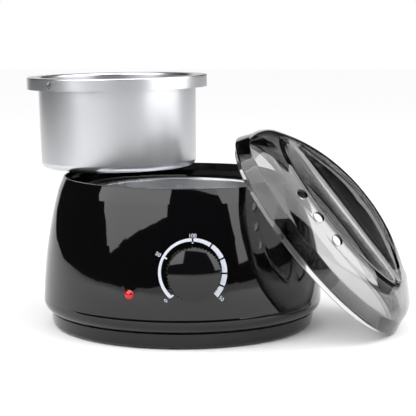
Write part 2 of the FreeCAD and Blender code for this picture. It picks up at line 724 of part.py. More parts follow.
def thermostat_nut():
    nut = hexagon(PANEL_NUT_FLATS, PANEL_NUT_LIFT, PANEL_NUT_LIFT + PANEL_NUT_HEIGHT)
    return placed(nut.cut(cylinder(BUSH_R + THREAD_GAP, -1, 5)), KNOB_FRAME)


def thermostat_shaft():
    """D-shaft, which turns in the bush with the knob."""
    shaft = cylinder(SHAFT_R, -SHAFT_BACK, SHAFT_REACH)
    flat = block((-5, 5), (SHAFT_FLAT, 5), (KNOB_BOSS_LIFT, SHAFT_REACH + 1))
    return placed(shaft.cut(flat), KNOB_FRAME)


def scale_direction(angle):
    """Unit vector at an angle clockwise from the dial's top."""
    turn = math.radians(angle)
    return V(math.sin(turn), math.cos(turn), 0)


def radial_bar(angle, inner, outer, width, low, high):
    """A bar along a dial's radius."""
    bar = block((-width / 2, width / 2), (inner, outer), (low, high))
    return turned(bar, -angle)


def knob_edge():
    """Centre (r, z) of the round at the domed cap's edge, and the angle where the dome meets it."""
    foot = KNOB_TOP - KNOB_DOME_R
    reach = KNOB_FACE_R - KNOB_ROUND
    rise = math.sqrt((KNOB_DOME_R - KNOB_ROUND) ** 2 - reach ** 2)
    return (reach, foot + rise), math.degrees(math.atan2(rise, reach))


def control_knob():
    """Fluted knob with a domed cap, a D-bore for the shaft and a pointer groove."""
    edge, meet = knob_edge()
    dome_centre = (0, KNOB_TOP - KNOB_DOME_R)
    cavity_top = edge[1] - KNOB_CAP
    cavity_r = KNOB_R - KNOB_WALL
    gate = corner(dome_centre, KNOB_DOME_R, 90 - math.degrees(math.asin(KNOB_GATE_R / KNOB_DOME_R)))
    knob = lathe(
        (0, gate[1]), gate,
        (corner(dome_centre, KNOB_DOME_R, (meet + 90) / 2), corner(dome_centre, KNOB_DOME_R, meet)),
        (corner(edge, KNOB_ROUND, meet / 2), (KNOB_FACE_R, edge[1])),
        (KNOB_R, KNOB_LIFT), (cavity_r, KNOB_LIFT), (cavity_r, cavity_top),
        (KNOB_BOSS_R, cavity_top), (KNOB_BOSS_R, KNOB_BOSS_LIFT), (0, KNOB_BOSS_LIFT))
    bore = cylinder(SHAFT_R + 0.02, 0, SHAFT_REACH + FACE_GAP)
    bore = bore.cut(block((-5, 5), (SHAFT_FLAT + 0.02, 5), (0, SHAFT_REACH + 1)))
    lean = math.atan2(KNOB_R - KNOB_FACE_R, edge[1] - KNOB_LIFT)
    flute_foot = V(KNOB_R + FLUTE_R - FLUTE_DEPTH, 0, KNOB_LIFT - 1)
    flute = Part.makeCylinder(FLUTE_R, KNOB_TOP, flute_foot, V(-math.sin(lean), 0, math.cos(lean)))
    flutes = [turned(flute, 360.0 * k / FLUTE_COUNT) for k in range(FLUTE_COUNT)]
    groove = radial_bar(POINTER_ANGLE, POINTER_START, KNOB_R + 1, POINTER_WIDTH, edge[1], KNOB_TOP + 1)
    groove = groove.cut(Part.makeSphere(KNOB_DOME_R - POINTER_DEPTH, V(0, 0, dome_centre[1])))
    notch = radial_bar(POINTER_ANGLE, KNOB_FACE_R - NOTCH_LENGTH, KNOB_R + 1, NOTCH_WIDTH,
                       edge[1] + KNOB_ROUND - NOTCH_DEPTH, KNOB_TOP + 1)
    return placed(cut_all(knob, [bore] + flutes + [groove, notch]), KNOB_FRAME)


def scale_gap_angles():
    """Gaps of the printed band: each block is a little shorter than the one before it."""
    angles = [0.0]
    for k in range(SCALE_BLOCKS - 1):
        angles.append(angles[-1] + SCALE_FIRST_STEP - k * SCALE_STEP_SHRINK)
    return angles


def skin_layer():
    """A thin layer just over the main wall, from which the dial's print is cut."""
    def solid(offset):
        foot, wall = wall_steps(-offset)
        return lathe((0, Z_WIDE), foot, wall, (0, Z_SHOULDER))
    return solid(FACE_GAP + SCALE_PROUD).cut(solid(FACE_GAP))


def dial_scale():
    """Printed temperature band round the knob, which grows wider towards the hot end."""
    low, high = -8.0, 4.0
    centre = scale_direction(SCALE_THICK_ANGLE) * -SCALE_ECCENTRICITY
    band = cylinder(SCALE_R, low, high)
    band = band.cut(cylinder(SCALE_R - SCALE_WIDTH, low - 1, high + 1, centre.x, centre.y))
    reach = SCALE_R * 2
    turns = (SCALE_END, 180.0, 360.0 + SCALE_START)
    wedge = [V(0, 0, low - 1)] + [scale_direction(a) * reach + V(0, 0, low - 1) for a in turns]
    wedge = Part.Face(Part.makePolygon(wedge + wedge[:1])).extrude(V(0, 0, high - low + 2))
    band = band.cut(wedge)
    for angle in scale_gap_angles():
        band = band.cut(radial_bar(angle, SCALE_R - 6, SCALE_R + 2, SCALE_GAP, low - 1, high + 1))
    inner = SCALE_R - SCALE_WIDTH
    ticks = [radial_bar(angle, inner - TICK_REACH, SCALE_R - 1.0, TICK_WIDTH, low, high)
             for angle in (SCALE_START, ON_TICK_ANGLE)]
    marks = fuse_all([band] + ticks)
    dot = radial_bar(0, inner - TICK_REACH, inner, TICK_WIDTH, low, high)
    marks = Part.makeCompound(marks.Solids + [dot])
    layer = skin_layer()
    pieces = []
    for solid in marks.Solids:
        pieces += placed(solid, KNOB_FRAME).common(layer).Solids
    front = [piece for piece in pieces if piece.CenterOfMass.y < 0]
    return Part.makeCompound(front)


# ---- indicator -----------------------------------------------------------------------------
def indicator_lens():
    back = -LENS_SEAT - LENS_FLANGE
    dome_base = 0.3
    lens = lathe(
        (0, back), (LENS_FLANGE_R, back), (LENS_FLANGE_R, -LENS_SEAT), (LENS_R, -LENS_SEAT),
        (LENS_R, dome_base),
        cap(LENS_R, dome_base, LENS_PROUD))
    return placed(lens, LENS_FRAME)


def lamp_holder():
    """Push-in sleeve behind the lens."""
    front = -LENS_SEAT - LENS_FLANGE - FACE_GAP
    seat = -LAMP_BOSS_DEPTH - FACE_GAP
    sleeve = tube(LAMP_R + 0.15, LENS_FLANGE_R + 0.05, front - HOLDER_LENGTH, front)
    flange = tube(LAMP_R + 0.15, LAMP_BOSS_R - 0.2, seat - HOLDER_FLANGE, seat)
    return placed(fuse_all([sleeve, flange]), LENS_FRAME)


def indicator_lamp():
    front = -LENS_SEAT - LENS_FLANGE - FACE_GAP - LAMP_FRONT_GAP
    back = front - LAMP_LENGTH
    lamp = lathe((0, back), (LAMP_R, back), (LAMP_R, front - LAMP_R),
                 (corner((0, front - LAMP_R), LAMP_R, 45), (0, front)))
    return placed(lamp, LENS_FRAME)


# ---- mains side ----------------------------------------------------------------------------
def terminal_places():
    return (-BLOCK_PITCH, 0.0, BLOCK_PITCH)


def terminal_block():
    width, depth, height = BLOCK_SIZE
    low = FLOOR_TOP + FACE_GAP
    body = block((-width / 2, width / 2), (BLOCK_Y - depth / 2, BLOCK_Y + depth / 2),
                 (low, low + height))
    hole_z = low + height / 2
    tools = []
    for x in terminal_places():
        tools.append(Part.makeCylinder(BLOCK_HOLE_R, depth + 2,
                                       V(x, BLOCK_Y - depth / 2 - 1, hole_z), V(0, 1, 0)))
        for side in (1, -1):
            tools.append(cylinder(BLOCK_SCREW_R + THREAD_GAP, low + height - 4.6, low + height + 1,
                                  x, BLOCK_Y + side * depth / 4))
    for x in (-BLOCK_PITCH / 2, BLOCK_PITCH / 2):
        tools.append(block((x - 0.8, x + 0.8), (BLOCK_Y - depth, BLOCK_Y + depth),
                           (low + height - 3, low + height + 1)))
    return cut_all(body, tools)


def terminal_screws():
    depth, height = BLOCK_SIZE[1], BLOCK_SIZE[2]
    high = FLOOR_TOP + FACE_GAP + height - 0.6
    screws = []
    for x in terminal_places():
        for side in (1, -1):
            y = BLOCK_Y + side * depth / 4
            screw = cylinder(BLOCK_SCREW_R, high - 3.9, high, x, y)
            screws.append(screw.cut(block((x - 2, x + 2), (y - 0.3, y + 0.3), (high - 0.7, high + 1))))
    return Part.makeCompound(screws)


def cord_bushing():
    """Snap-in grommet in the back wall, through which a mains lead passes."""
    flange_round = 0.9
    outer_face = FACE_GAP + BUSHING_FLANGE
    inner_face = -WALL - 0.4
    round_centre = (BUSHING_FLANGE_R - flange_round, outer_face - flange_round)
    grommet = lathe(
        (BUSHING_BORE_R, outer_face), (round_centre[0], outer_face),
        (corner(round_centre, flange_round, 45), (BUSHING_FLANGE_R, round_centre[1])),
        (BUSHING_FLANGE_R, FACE_GAP),
        (BUSHING_HOLE_R - 0.1, FACE_GAP), (BUSHING_HOLE_R - 0.1, inner_face),
        (BUSHING_HOLE_R + 1.3, inner_face), (BUSHING_HOLE_R + 1.3, inner_face - BUSHING_INNER_FLANGE / 2),
        (BUSHING_HOLE_R - 0.2, inner_face - BUSHING_INNER_FLANGE),
        (BUSHING_BORE_R, inner_face - BUSHING_INNER_FLANGE))
    return placed(grommet, BUSHING_FRAME)


def wire(points, radius):
    """Round wire along straight runs joined by tangent arcs."""
    points = [V(*p) for p in points]
    edges = []
    here = points[0]
    for k in range(1, len(points) - 1):
        arrive = points[k] - points[k - 1]
        leave = points[k + 1] - points[k]
        setback = 0.45 * min(arrive.Length, leave.Length)
        arrive.normalize()
        leave.normalize()
        start = points[k] - arrive * setback
        end = points[k] + leave * setback
        turn = arrive.getAngle(leave)
        radius_of_turn = setback / math.tan(turn / 2)
        inward = (leave - arrive).normalize()
        centre = points[k] + inward * (radius_of_turn / math.cos(turn / 2))
        middle = centre - inward * radius_of_turn
        edges.append(Part.LineSegment(here, start).toShape())
        edges.append(Part.Arc(start, middle, end).toShape())
        here = end
    edges.append(Part.LineSegment(here, points[-1]).toShape())
    path = Part.Wire(edges)
    along = points[1] - points[0]
    section = Part.Wire([Part.makeCircle(radius, points[0], along)])
    return path.makePipeShell([section], True, False)


def heater_end(side, further):
    """Where a lead meets one of the heater's posts, or a point further out from it."""
    reach = BAND_R + BAND_THICK + FACE_GAP + TERMINAL_LENGTH + WIRE_END + further
    angle = math.radians(90 + side * TERMINAL_AZIMUTH)
    return reach * math.cos(angle), reach * math.sin(angle), TERMINAL_Z


def tab_end(x, further):
    """Where a lead meets one of the thermostat's tabs, or a point further down from it."""
    down = THERMOSTAT_HEIGHT / 2 + FACE_GAP + TAB_LENGTH + WIRE_END + further
    return tuple(KNOB_FRAME.multVec(V(x, -down, -BOSS_DEPTH - THERMOSTAT_DEPTH / 2)))


def wiring():
    """Sleeved leads between the block, the thermostat, the fuse, the heater and the lamp."""
    block_front = BLOCK_Y - BLOCK_SIZE[1] / 2 - WIRE_END
    block_z = FLOOR_TOP + FACE_GAP + BLOCK_SIZE[2] / 2
    left, right = tab_places()
    lead_y = FUSE_LENGTH / 2 + FUSE_LEAD_LENGTH + WIRE_END
    lamp_back = -LENS_SEAT - LENS_FLANGE - FACE_GAP - LAMP_FRONT_GAP - LAMP_LENGTH - WIRE_END
    lamp_ends = [tuple(LENS_FRAME.multVec(V(0, 0, lamp_back - run))) for run in (0, WIRE_STRAIGHT)]
    routes = [
        ((-BLOCK_PITCH, block_front, block_z), *LIVE_ROUTE,
         tab_end(left, WIRE_STRAIGHT), tab_end(left, 0)),
        (tab_end(right, 0), tab_end(right, WIRE_STRAIGHT), *SWITCHED_ROUTE,
         heater_end(-1, WIRE_STRAIGHT), heater_end(-1, 0)),
        ((BLOCK_PITCH, block_front, block_z), *NEUTRAL_ROUTE, (FUSE_X, lead_y, FUSE_Z)),
        ((FUSE_X, -lead_y, FUSE_Z), *FUSED_ROUTE, heater_end(1, WIRE_STRAIGHT), heater_end(1, 0)),
        (*lamp_ends, *LAMP_ROUTE, (0, block_front, block_z)),
    ]
    return Part.makeCompound([wire(route, WIRE_R) for route in routes])


# ---- lift-out pot --------------------------------------------------------------------------
def pot_frame():
    """The pot's own base centre, leaning so that only its left side touches the rim."""
    distance = math.hypot(POT_X, POT_Y)
    flat = POT_BASE_R - POT_CORNER
    spread = math.acos((R_RIM ** 2 + distance ** 2 - flat ** 2) / (2 * R_RIM * distance))
    touch_x = R_RIM * math.cos(math.atan2(POT_Y, POT_X) + spread)
    lift = FACE_GAP + (POT_X - touch_x) * math.tan(math.radians(POT_LEAN))
    return FreeCAD.Placement(V(POT_X, POT_Y, Z_RIM + lift), FreeCAD.Rotation(V(0, 1, 0), -POT_LEAN))


def wax_pot():
    """Spun aluminium pot with a turned-down flange, pierced twice for a bail."""
    top = POT_HEIGHT
    outer_centre = (POT_BASE_R - POT_CORNER, POT_CORNER)
    inner_corner = POT_CORNER - POT_WALL
    inner_centre = (POT_BASE_R - POT_WALL - inner_corner, POT_FLOOR + inner_corner)
    flange_round = (FLANGE_R - FLANGE_ROUND, top - FLANGE_ROUND)
    inner_top = POT_R - POT_WALL
    pot = lathe(
        (0, 0),
        (outer_centre[0], 0),
        (corner(outer_centre, POT_CORNER, -45), (POT_BASE_R, POT_CORNER)),
        (POT_R, top - FLANGE_THICK),
        (FLANGE_R - FLANGE_THICK, top - FLANGE_THICK),
        (FLANGE_R - FLANGE_THICK, top - FLANGE_HEIGHT),
        (FLANGE_R, top - FLANGE_HEIGHT),
        (FLANGE_R, flange_round[1]),
        (corner(flange_round, FLANGE_ROUND, 45), (flange_round[0], top)),
        (inner_top + FLANGE_THICK, top),
        (corner((inner_top + FLANGE_THICK, top - FLANGE_THICK), FLANGE_THICK, 135),
         (inner_top, top - FLANGE_THICK)),
        (inner_centre[0] + inner_corner, inner_centre[1]),
        (corner(inner_centre, inner_corner, -45), (inner_centre[0], POT_FLOOR)),
        (0, POT_FLOOR))
    hole = Part.makeCylinder(BAIL_HOLE_R, 5, V(FLANGE_R - 4, 0, top - FLANGE_HEIGHT / 2 - 0.2), V(1, 0, 0))
    holes = [turned(hole, BAIL_HOLE_AZIMUTH + half_turn) for half_turn in (0, 180)]
    return placed(cut_all(pot, holes), pot_frame())


# ---- lid -----------------------------------------------------------------------------------
def lid_frame():
    """Lid leaning on the rim: its edge on the table, its skirt caught round the rim.

    The lid's plane is fixed by its lean.  It stands as near the warmer as its skirt lets it:
    where the rim passes the skirt's lower edge, the skirt's inside clears it by the rest gap.
    """
    lean = math.radians(LID_LEAN)
    turn = math.radians(LID_AZIMUTH)
    height = LID_R * math.sin(lean) - LID_EDGE * math.cos(lean) + TABLE_GAP
    drop = Z_RIM - height
    inside = SKIRT_R - SKIRT_WALL - REST_GAP
    back = (SKIRT_DEPTH + drop * math.cos(lean)) / math.sin(lean)
    along = -back * math.cos(lean) - drop * math.sin(lean)
    half_chord = math.sqrt(inside ** 2 - along ** 2)
    distance = math.sqrt(R_RIM ** 2 - half_chord ** 2) + back
    origin = V(distance * math.cos(turn), distance * math.sin(turn), height)
    axis = V(math.sin(lean) * math.cos(turn), math.sin(lean) * math.sin(turn), math.cos(lean))
    fall = V(math.cos(lean) * math.cos(turn), math.cos(lean) * math.sin(turn), -math.sin(lean))
    frame = frame_of(origin, fall, axis.cross(fall), axis)
    return frame.multiply(FreeCAD.Placement(V(), FreeCAD.Rotation(V(0, 0, 1), LID_SPIN)))


def dome(wall):
    """Crown arc and shoulder arc of the dome, moved in by wall, as lathe steps from the foot.

    The outer shoulder arc passes through the crease over the band.  The foot of an inner
    dome is where its shoulder arc stands upright.
    """
    crown_z = LID_BAND + DOME_RISE - DOME_R
    span = DOME_R - DOME_SHOULDER_R
    crease_span = math.hypot(CREASE_R, LID_BAND - crown_z)
    crease_angle = math.atan2(LID_BAND - crown_z, CREASE_R)
    between = math.acos((crease_span ** 2 + span ** 2 - DOME_SHOULDER_R ** 2)
                        / (2 * crease_span * span))
    meet = math.degrees(crease_angle + between)
    centre = corner((0, crown_z), span, meet)
    foot_angle = 0.0
    if wall == 0:
        foot_angle = math.degrees(math.asin((LID_BAND - centre[1]) / DOME_SHOULDER_R))
    shoulder = DOME_SHOULDER_R - wall
    crown = DOME_R - wall
    return [
        corner(centre, shoulder, foot_angle),
        (corner(centre, shoulder, (foot_angle + meet) / 2), corner(centre, shoulder, meet)),
        (corner((0, crown_z), crown, (meet + 90) / 2), (0.0, crown_z + crown)),
    ]


def scoop(inset, side):
    """Finger scoop beside the grip bar: a round-cornered D in plan, with a rounded floor."""
    near = GRIP_HALF - inset
    reach = SCOOP_R + inset
    low = LID_BAND + SCOOP_FLOOR - inset
    high = LID_BAND + DOME_RISE + 10.0
    disc = cylinder(reach, low, high)
    half = disc.common(block((-200, 200), (near, 200), (low - 1, high + 1)))
    upright = [edge for edge in half.Edges
               if len(edge.Vertexes) == 2 and abs(edge.tangentAt(edge.FirstParameter).z) > 0.99
               and edge.Length > 1]
    half = half.makeFillet(SCOOP_CORNER + inset, upright)
    floor = [edge for edge in half.Edges if abs(edge.CenterOfMass.z - low) < 1e-4]
    half = half.makeFillet(SCOOP_ROUND + inset, floor)
    return half if side > 0 else turned(half, 180)


def lid_shell():
    """One smoked moulding: skirt, band, dome, two finger scoops with the bar between, vent holes."""
    outside = lathe(
        (0, -SKIRT_DEPTH), (SKIRT_R, -SKIRT_DEPTH), (SKIRT_R, 0), (LID_R - LID_EDGE, 0),
        (LID_R, LID_EDGE), *dome(0))
    inside = lathe(
        (0, -SKIRT_DEPTH - 1), (SKIRT_R - SKIRT_WALL, -SKIRT_DEPTH - 1), *dome(LID_WALL))
    for side in (1, -1):
        outside = outside.cut(scoop(0.0, side))
        inside = inside.cut(scoop(LID_WALL, side))
    slope = math.radians(VENT_HOLE_TILT)
    outward = V(0, -math.sin(slope), math.cos(slope))
    on_dome = V(0, -VENT_HOLE_CIRCLE, LID_BAND + VENT_HOLE_HEIGHT)
    hole = Part.makeCylinder(VENT_HOLE_R, 12, on_dome - outward * 6, outward)
    holes = [turned(hole, VENT_ROW_TURN + k * VENT_HOLE_STEP) for k in (-1, 0, 1)]
    return placed(cut_all(outside.cut(inside), holes), lid_frame())


NODES = {
    "housing_shell": housing_shell,
    "well_deck": well_deck,
    "base_plinth": base_plinth,
    "rubber_feet": rubber_feet,
    "base_screws": base_screws,
    "wax_well": wax_well,
    "heater_band": heater_band,
    "heater_terminals": heater_terminals,
    "band_strap": band_strap,
    "strap_bolt": strap_bolt,
    "insulation_sleeve": insulation_sleeve,
    "retaining_bridge": retaining_bridge,
    "bridge_screws": bridge_screws,
    "well_nut": well_nut,
    "thermal_fuse": thermal_fuse,
    "fuse_clip": fuse_clip,
    "clip_nut": clip_nut,
    "thermostat_body": thermostat_body,
    "thermostat_tabs": thermostat_tabs,
    "thermostat_nut": thermostat_nut,
    "thermostat_shaft": thermostat_shaft,
    "control_knob": control_knob,
    "dial_scale": dial_scale,
    "indicator_lens": indicator_lens,
    "lamp_holder": lamp_holder,
    "indicator_lamp": indicator_lamp,
    "terminal_block": terminal_block,
    "terminal_screws": terminal_screws,
    "cord_bushing": cord_bushing,
    "wiring": wiring,
    "wax_pot": wax_pot,
    "lid_shell": lid_shell,
}


def report_frames():
    """Print where the moving pieces' axes lie, in metres, for the part's record."""
    for name, frame in (("knob", KNOB_FRAME), ("bushing", BUSHING_FRAME), ("lid", lid_frame()),
                        ("pot", pot_frame())):
        axis = frame.Rotation.multVec(V(0, 0, 1))
        base = frame.Base / 1000
        print(name, "at", [round(c, 5) for c in base], "axis", [round(c, 6) for c in axis])


def main():
    os.makedirs("parts", exist_ok=True)
    for name, make in NODES.items():
        shape = make()
        valid = shape.isValid() and all(solid.isClosed() for solid in shape.Solids)
        print("%-18s %2d solids %10.1f mm3 %s" % (name, len(shape.Solids), shape.Volume,
                                                  "ok" if valid else "INVALID"))
        shape.exportStep("parts/%s.step" % name)
    report_frames()


main()
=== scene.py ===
"""Candle wax melter: its finishes, its lid and its dial numbers, round the packed frame.

Lengths in the property groups are in metres, as Blender shows them.  The lid is modelled in its
own frame, with x along the grip bar, y across it and h out along the lid's axis.
"""

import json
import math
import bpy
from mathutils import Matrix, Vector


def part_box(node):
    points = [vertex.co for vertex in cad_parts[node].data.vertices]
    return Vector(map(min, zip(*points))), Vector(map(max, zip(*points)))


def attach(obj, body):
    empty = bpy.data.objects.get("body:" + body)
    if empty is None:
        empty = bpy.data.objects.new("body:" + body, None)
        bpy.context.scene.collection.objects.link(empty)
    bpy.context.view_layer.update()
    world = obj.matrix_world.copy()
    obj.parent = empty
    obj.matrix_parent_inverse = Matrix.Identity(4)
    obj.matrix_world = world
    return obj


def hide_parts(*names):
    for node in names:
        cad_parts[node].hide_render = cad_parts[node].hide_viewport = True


bl_info = {
    "name": "Candle Wax Melter",
    "version": (1, 0, 0),
    "blender": (4, 5, 0),
    "location": "3D View > Sidebar > Wax Melter",
    "description": "Dresses the packed frame of a candle wax melter and sets up its studio",
    "category": "Object",
}

import bpy
import numpy as np
from bpy.props import FloatProperty, FloatVectorProperty, IntProperty, PointerProperty, StringProperty
from mathutils import Matrix, Vector
from mathutils.bvhtree import BVHTree

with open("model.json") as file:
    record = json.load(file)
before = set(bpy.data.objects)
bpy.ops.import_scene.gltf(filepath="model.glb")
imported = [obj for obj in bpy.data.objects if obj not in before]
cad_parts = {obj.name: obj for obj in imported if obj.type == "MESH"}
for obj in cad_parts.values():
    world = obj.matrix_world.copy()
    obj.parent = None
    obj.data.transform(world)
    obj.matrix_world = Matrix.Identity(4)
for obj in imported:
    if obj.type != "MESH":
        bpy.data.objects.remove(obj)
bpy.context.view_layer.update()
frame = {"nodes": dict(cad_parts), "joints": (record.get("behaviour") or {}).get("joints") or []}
JOINTS = {joint["name"]: joint for joint in frame["joints"]}
SHARP_ANGLE = math.radians(35)  # faces that meet at more than this keep a sharp edge


# ---- small helpers ------------------------------------------------------------------------
def linear(hex_colour):
    """An sRGB hex colour as linear RGBA."""
    parts = [int(hex_colour[k:k + 2], 16) / 255 for k in (1, 3, 5)]
    return tuple(c / 12.92 if c <= 0.04045 else ((c + 0.055) / 1.055) ** 2.4 for c in parts) + (1.0,)


def add_node(tree, kind, inputs=None, **settings):
    """Add a node, set its settings, and give its inputs values or links."""
    made = tree.nodes.new(kind)
    for name, value in settings.items():
        setattr(made, name, value)
    for name, value in (inputs or {}).items():
        socket = made.inputs[name]
        if isinstance(value, bpy.types.NodeSocket):
            tree.links.new(value, socket)
        else:
            socket.default_value = value
    return made


def new_material(name):
    """An empty material, its node tree and the surface socket of its output."""
    made = bpy.data.materials.new(name)
    made.use_nodes = True
    made.node_tree.nodes.clear()
    output = add_node(made.node_tree, "ShaderNodeOutputMaterial")
    return made, made.node_tree, output


def mesh_object(name, vertices, faces):
    """A new object at the origin, smooth except where its faces meet sharply."""
    mesh = bpy.data.meshes.new(name)
    mesh.from_pydata([tuple(v) for v in vertices], [], [tuple(f) for f in faces])
    mesh.update()
    mesh.shade_smooth()
    mesh.set_sharp_from_angle(angle=SHARP_ANGLE)
    made = bpy.data.objects.new(name, mesh)
    bpy.context.scene.collection.objects.link(made)
    return made


def joint_frame(joint):
    """Matrix of a joint on the warmer's wall: x to the right, y up and z out along its axis."""
    outward = Vector(joint["axis"]).normalized()
    right = Vector((-outward.y, outward.x, 0)).normalized()
    up = outward.cross(right)
    turned = Matrix((right, up, outward)).transposed().to_4x4()
    return Matrix.Translation(Vector(joint["pos_m"])) @ turned


def evaluated_mesh(made):
    """The object's mesh with its modifiers applied."""
    return bpy.data.meshes.new_from_object(made.evaluated_get(bpy.context.evaluated_depsgraph_get()))


def set_material(node, material):
    """Give one of the frame's nodes a finish."""
    frame["nodes"][node].data.materials.clear()
    frame["nodes"][node].data.materials.append(material)


def closed_rings(rings):
    """Faces of a closed skin from rings of equal size, with a pole vertex before and after."""
    count = len(rings[0])
    total = len(rings)
    faces = []
    for k in range(total - 1):
        for i in range(count):
            j = (i + 1) % count
            faces.append((1 + k * count + i, 1 + (k + 1) * count + i,
                          1 + (k + 1) * count + j, 1 + k * count + j))
    last = 1 + total * count
    for i in range(count):
        j = (i + 1) % count
        faces.append((0, 1 + i, 1 + j))
        faces.append((last, 1 + (total - 1) * count + j, 1 + (total - 1) * count + i))
    return faces


def rounded_outline(points, radii, step):
    """Corners of an outline rounded by their own radii, sampled every step."""
    out = [np.array(points[0], float)]
    for before, at, after, radius in zip(points, points[1:], points[2:], radii):
        before, at, after = (np.array(p, float) for p in (before, at, after))
        back = (before - at) / np.linalg.norm(before - at)
        on = (after - at) / np.linalg.norm(after - at)
        half = math.acos(float(np.clip(back @ on, -1, 1))) / 2
        reach = radius / math.tan(half)
        centre = at + (back + on) / np.linalg.norm(back + on) * radius / math.sin(half)
        start, end = at + back * reach - centre, at + on * reach - centre
        sweep = math.pi - 2 * half
        turns = max(2, int(math.ceil(radius * sweep / step)) + 1)
        for k in range(turns + 1):
            part = k / turns
            both = start * math.sin((1 - part) * sweep) + end * math.sin(part * sweep)
            out.append(centre + both / math.sin(sweep))
    out.append(np.array(points[-1], float))
    return out


# ---- sizes and colours that a user may change ----------------------------------------------
class LidSettings(bpy.types.PropertyGroup):
    """Sizes of the smoked lid."""
    band_radius: FloatProperty(name="Band radius", description="Radius of the lid's upright band",
                               default=0.0838, unit="LENGTH")
    band_height: FloatProperty(name="Band height", description="Height of the band under the dome",
                               default=0.00895, unit="LENGTH")
    crease_radius: FloatProperty(name="Crease radius", description="Radius where band and dome meet",
                                 default=0.0799, unit="LENGTH")
    dome_rise: FloatProperty(name="Dome rise", description="Height of the dome over the band",
                             default=0.0329, unit="LENGTH")
    dome_radius: FloatProperty(name="Crown radius", description="Radius of the crown's arc",
                               default=0.133, unit="LENGTH")
    shoulder_radius: FloatProperty(name="Shoulder radius", description="Radius of the shoulder's arc",
                                   default=0.0163, unit="LENGTH")
    wall: FloatProperty(name="Wall", description="Thickness of the moulding", default=0.0022,
                        unit="LENGTH")
    skirt_radius: FloatProperty(name="Skirt radius", description="Outer radius of the inner skirt",
                                default=0.0794, unit="LENGTH")
    skirt_wall: FloatProperty(name="Skirt wall", description="Thickness of the skirt", default=0.0010,
                              unit="LENGTH")
    skirt_depth: FloatProperty(name="Skirt depth", description="How far the skirt reaches below the band",
                               default=0.0038, unit="LENGTH")
    grip_half: FloatProperty(name="Half grip", description="Half the grip bar's width at its foot",
                             default=0.0085, unit="LENGTH")
    scoop_radius: FloatProperty(name="Scoop radius", description="Radius of the finger scoops' outside",
                                default=0.065, unit="LENGTH")
    scoop_floor: FloatProperty(name="Scoop floor", description="Height of the scoops' floor over the band",
                               default=0.0162, unit="LENGTH")
    scoop_corner: FloatProperty(name="Scoop corner", description="Corner radius of a scoop, from above",
                                default=0.015, unit="LENGTH")
    scoop_round: FloatProperty(name="Scoop round", description="Radius round a scoop's floor",
                               default=0.004, unit="LENGTH")
    hole_radius: FloatProperty(name="Vent radius", description="Radius of the vent holes",
                               default=0.00375, unit="LENGTH")
    hole_circle: FloatProperty(name="Vent circle", description="Distance of the vents from the lid's axis",
                               default=0.0694, unit="LENGTH")
    hole_step: FloatProperty(name="Vent step", description="Angle between neighbouring vents",
                             default=math.radians(15.15), subtype="ANGLE")
    hole_turn: FloatProperty(name="Vent turn", description="Turn of the middle vent from square to the grip",
                             default=math.radians(-0.7), subtype="ANGLE")
    segments: IntProperty(name="Segments", description="Steps round the lid", default=320, min=96)
    tint: StringProperty(name="Smoke tint", description="What the smoked plastic lets through",
                         default="#1D1C22")


class DialSettings(bpy.types.PropertyGroup):
    """Size, place and colour of the dial's numbers."""
    number_height: FloatProperty(name="Number height", description="Size of the numbers' type",
                                 default=0.0034, unit="LENGTH")
    number_radius: FloatProperty(name="Number radius", description="Distance of the numbers from the centre",
                                 default=0.0242, unit="LENGTH")
    ink: StringProperty(name="Ink", description="Colour of the printed scale", default="#C4C8D2")


class WarmerSettings(bpy.types.PropertyGroup):
    """Colours of the warmer and its pot."""
    shell: StringProperty(name="Shell", description="Colour of the glossy moulding", default="#060607")
    metal: StringProperty(name="Liner", description="Colour of the well's spun aluminium",
                          default="#DDDEE0")
    pot: StringProperty(name="Pot", description="Colour of the pot's bead-blasted aluminium",
                        default="#C8C9CC")
    lens: StringProperty(name="Lens", description="Colour of the pilot light's lens", default="#A8000A")


class StageSettings(bpy.types.PropertyGroup):
    """Camera and lights."""
    eye: FloatVectorProperty(name="Eye", description="Where the camera stands", size=3,
                             default=(0.017383, -0.935308, 0.205295), subtype="TRANSLATION")
    tilt: FloatProperty(name="Tilt", description="How far the camera looks down",
                        default=math.radians(7.73), subtype="ANGLE")
    lens: FloatProperty(name="Lens", description="Focal length in millimetres", default=119.29)
    left_light: FloatProperty(name="Left light", description="Radiance of the left softbox",
                              default=3.7)
    right_light: FloatProperty(name="Right light", description="Radiance of the right softbox",
                               default=3.6)
    top_light: FloatProperty(name="Top light", description="Radiance of the overhead softbox",
                             default=3.4)
    ambient: FloatProperty(name="Ambient", description="Light that the white room sheds on matt things",
                           default=0.85)


# ---- materials -----------------------------------------------------------------------------
def gloss_abs(name, colour, roughness, ripple):
    """Polished injection-moulded ABS: near-mirror gloss with a faint ripple left by the mould."""
    made, tree, output = new_material(name)
    place = add_node(tree, "ShaderNodeTexCoord").outputs["Object"]
    # Sink and flow ripples are about 20 mm long.
    wave = add_node(tree, "ShaderNodeTexNoise", {"Vector": place, "Scale": 1 / 0.020, "Detail": 1.0})
    bump = add_node(tree, "ShaderNodeBump", {"Height": wave.outputs["Fac"], "Strength": 1.0,
                                             "Distance": ripple})
    # Handling leaves patches a little duller than the rest, about 35 mm across.
    haze = add_node(tree, "ShaderNodeTexNoise", {"Vector": place, "Scale": 1 / 0.035, "Detail": 4.0})
    dull = add_node(tree, "ShaderNodeMapRange", {"Value": haze.outputs["Fac"], "From Min": 0.35,
                                                 "From Max": 0.75, "To Min": roughness,
                                                 "To Max": roughness * 1.5})
    shader = add_node(tree, "ShaderNodeBsdfPrincipled", {
        "Base Color": linear(colour), "Roughness": dull.outputs["Result"], "IOR": 1.47,
        "Normal": bump.outputs["Normal"]})
    tree.links.new(shader.outputs["BSDF"], output.inputs["Surface"])
    return made


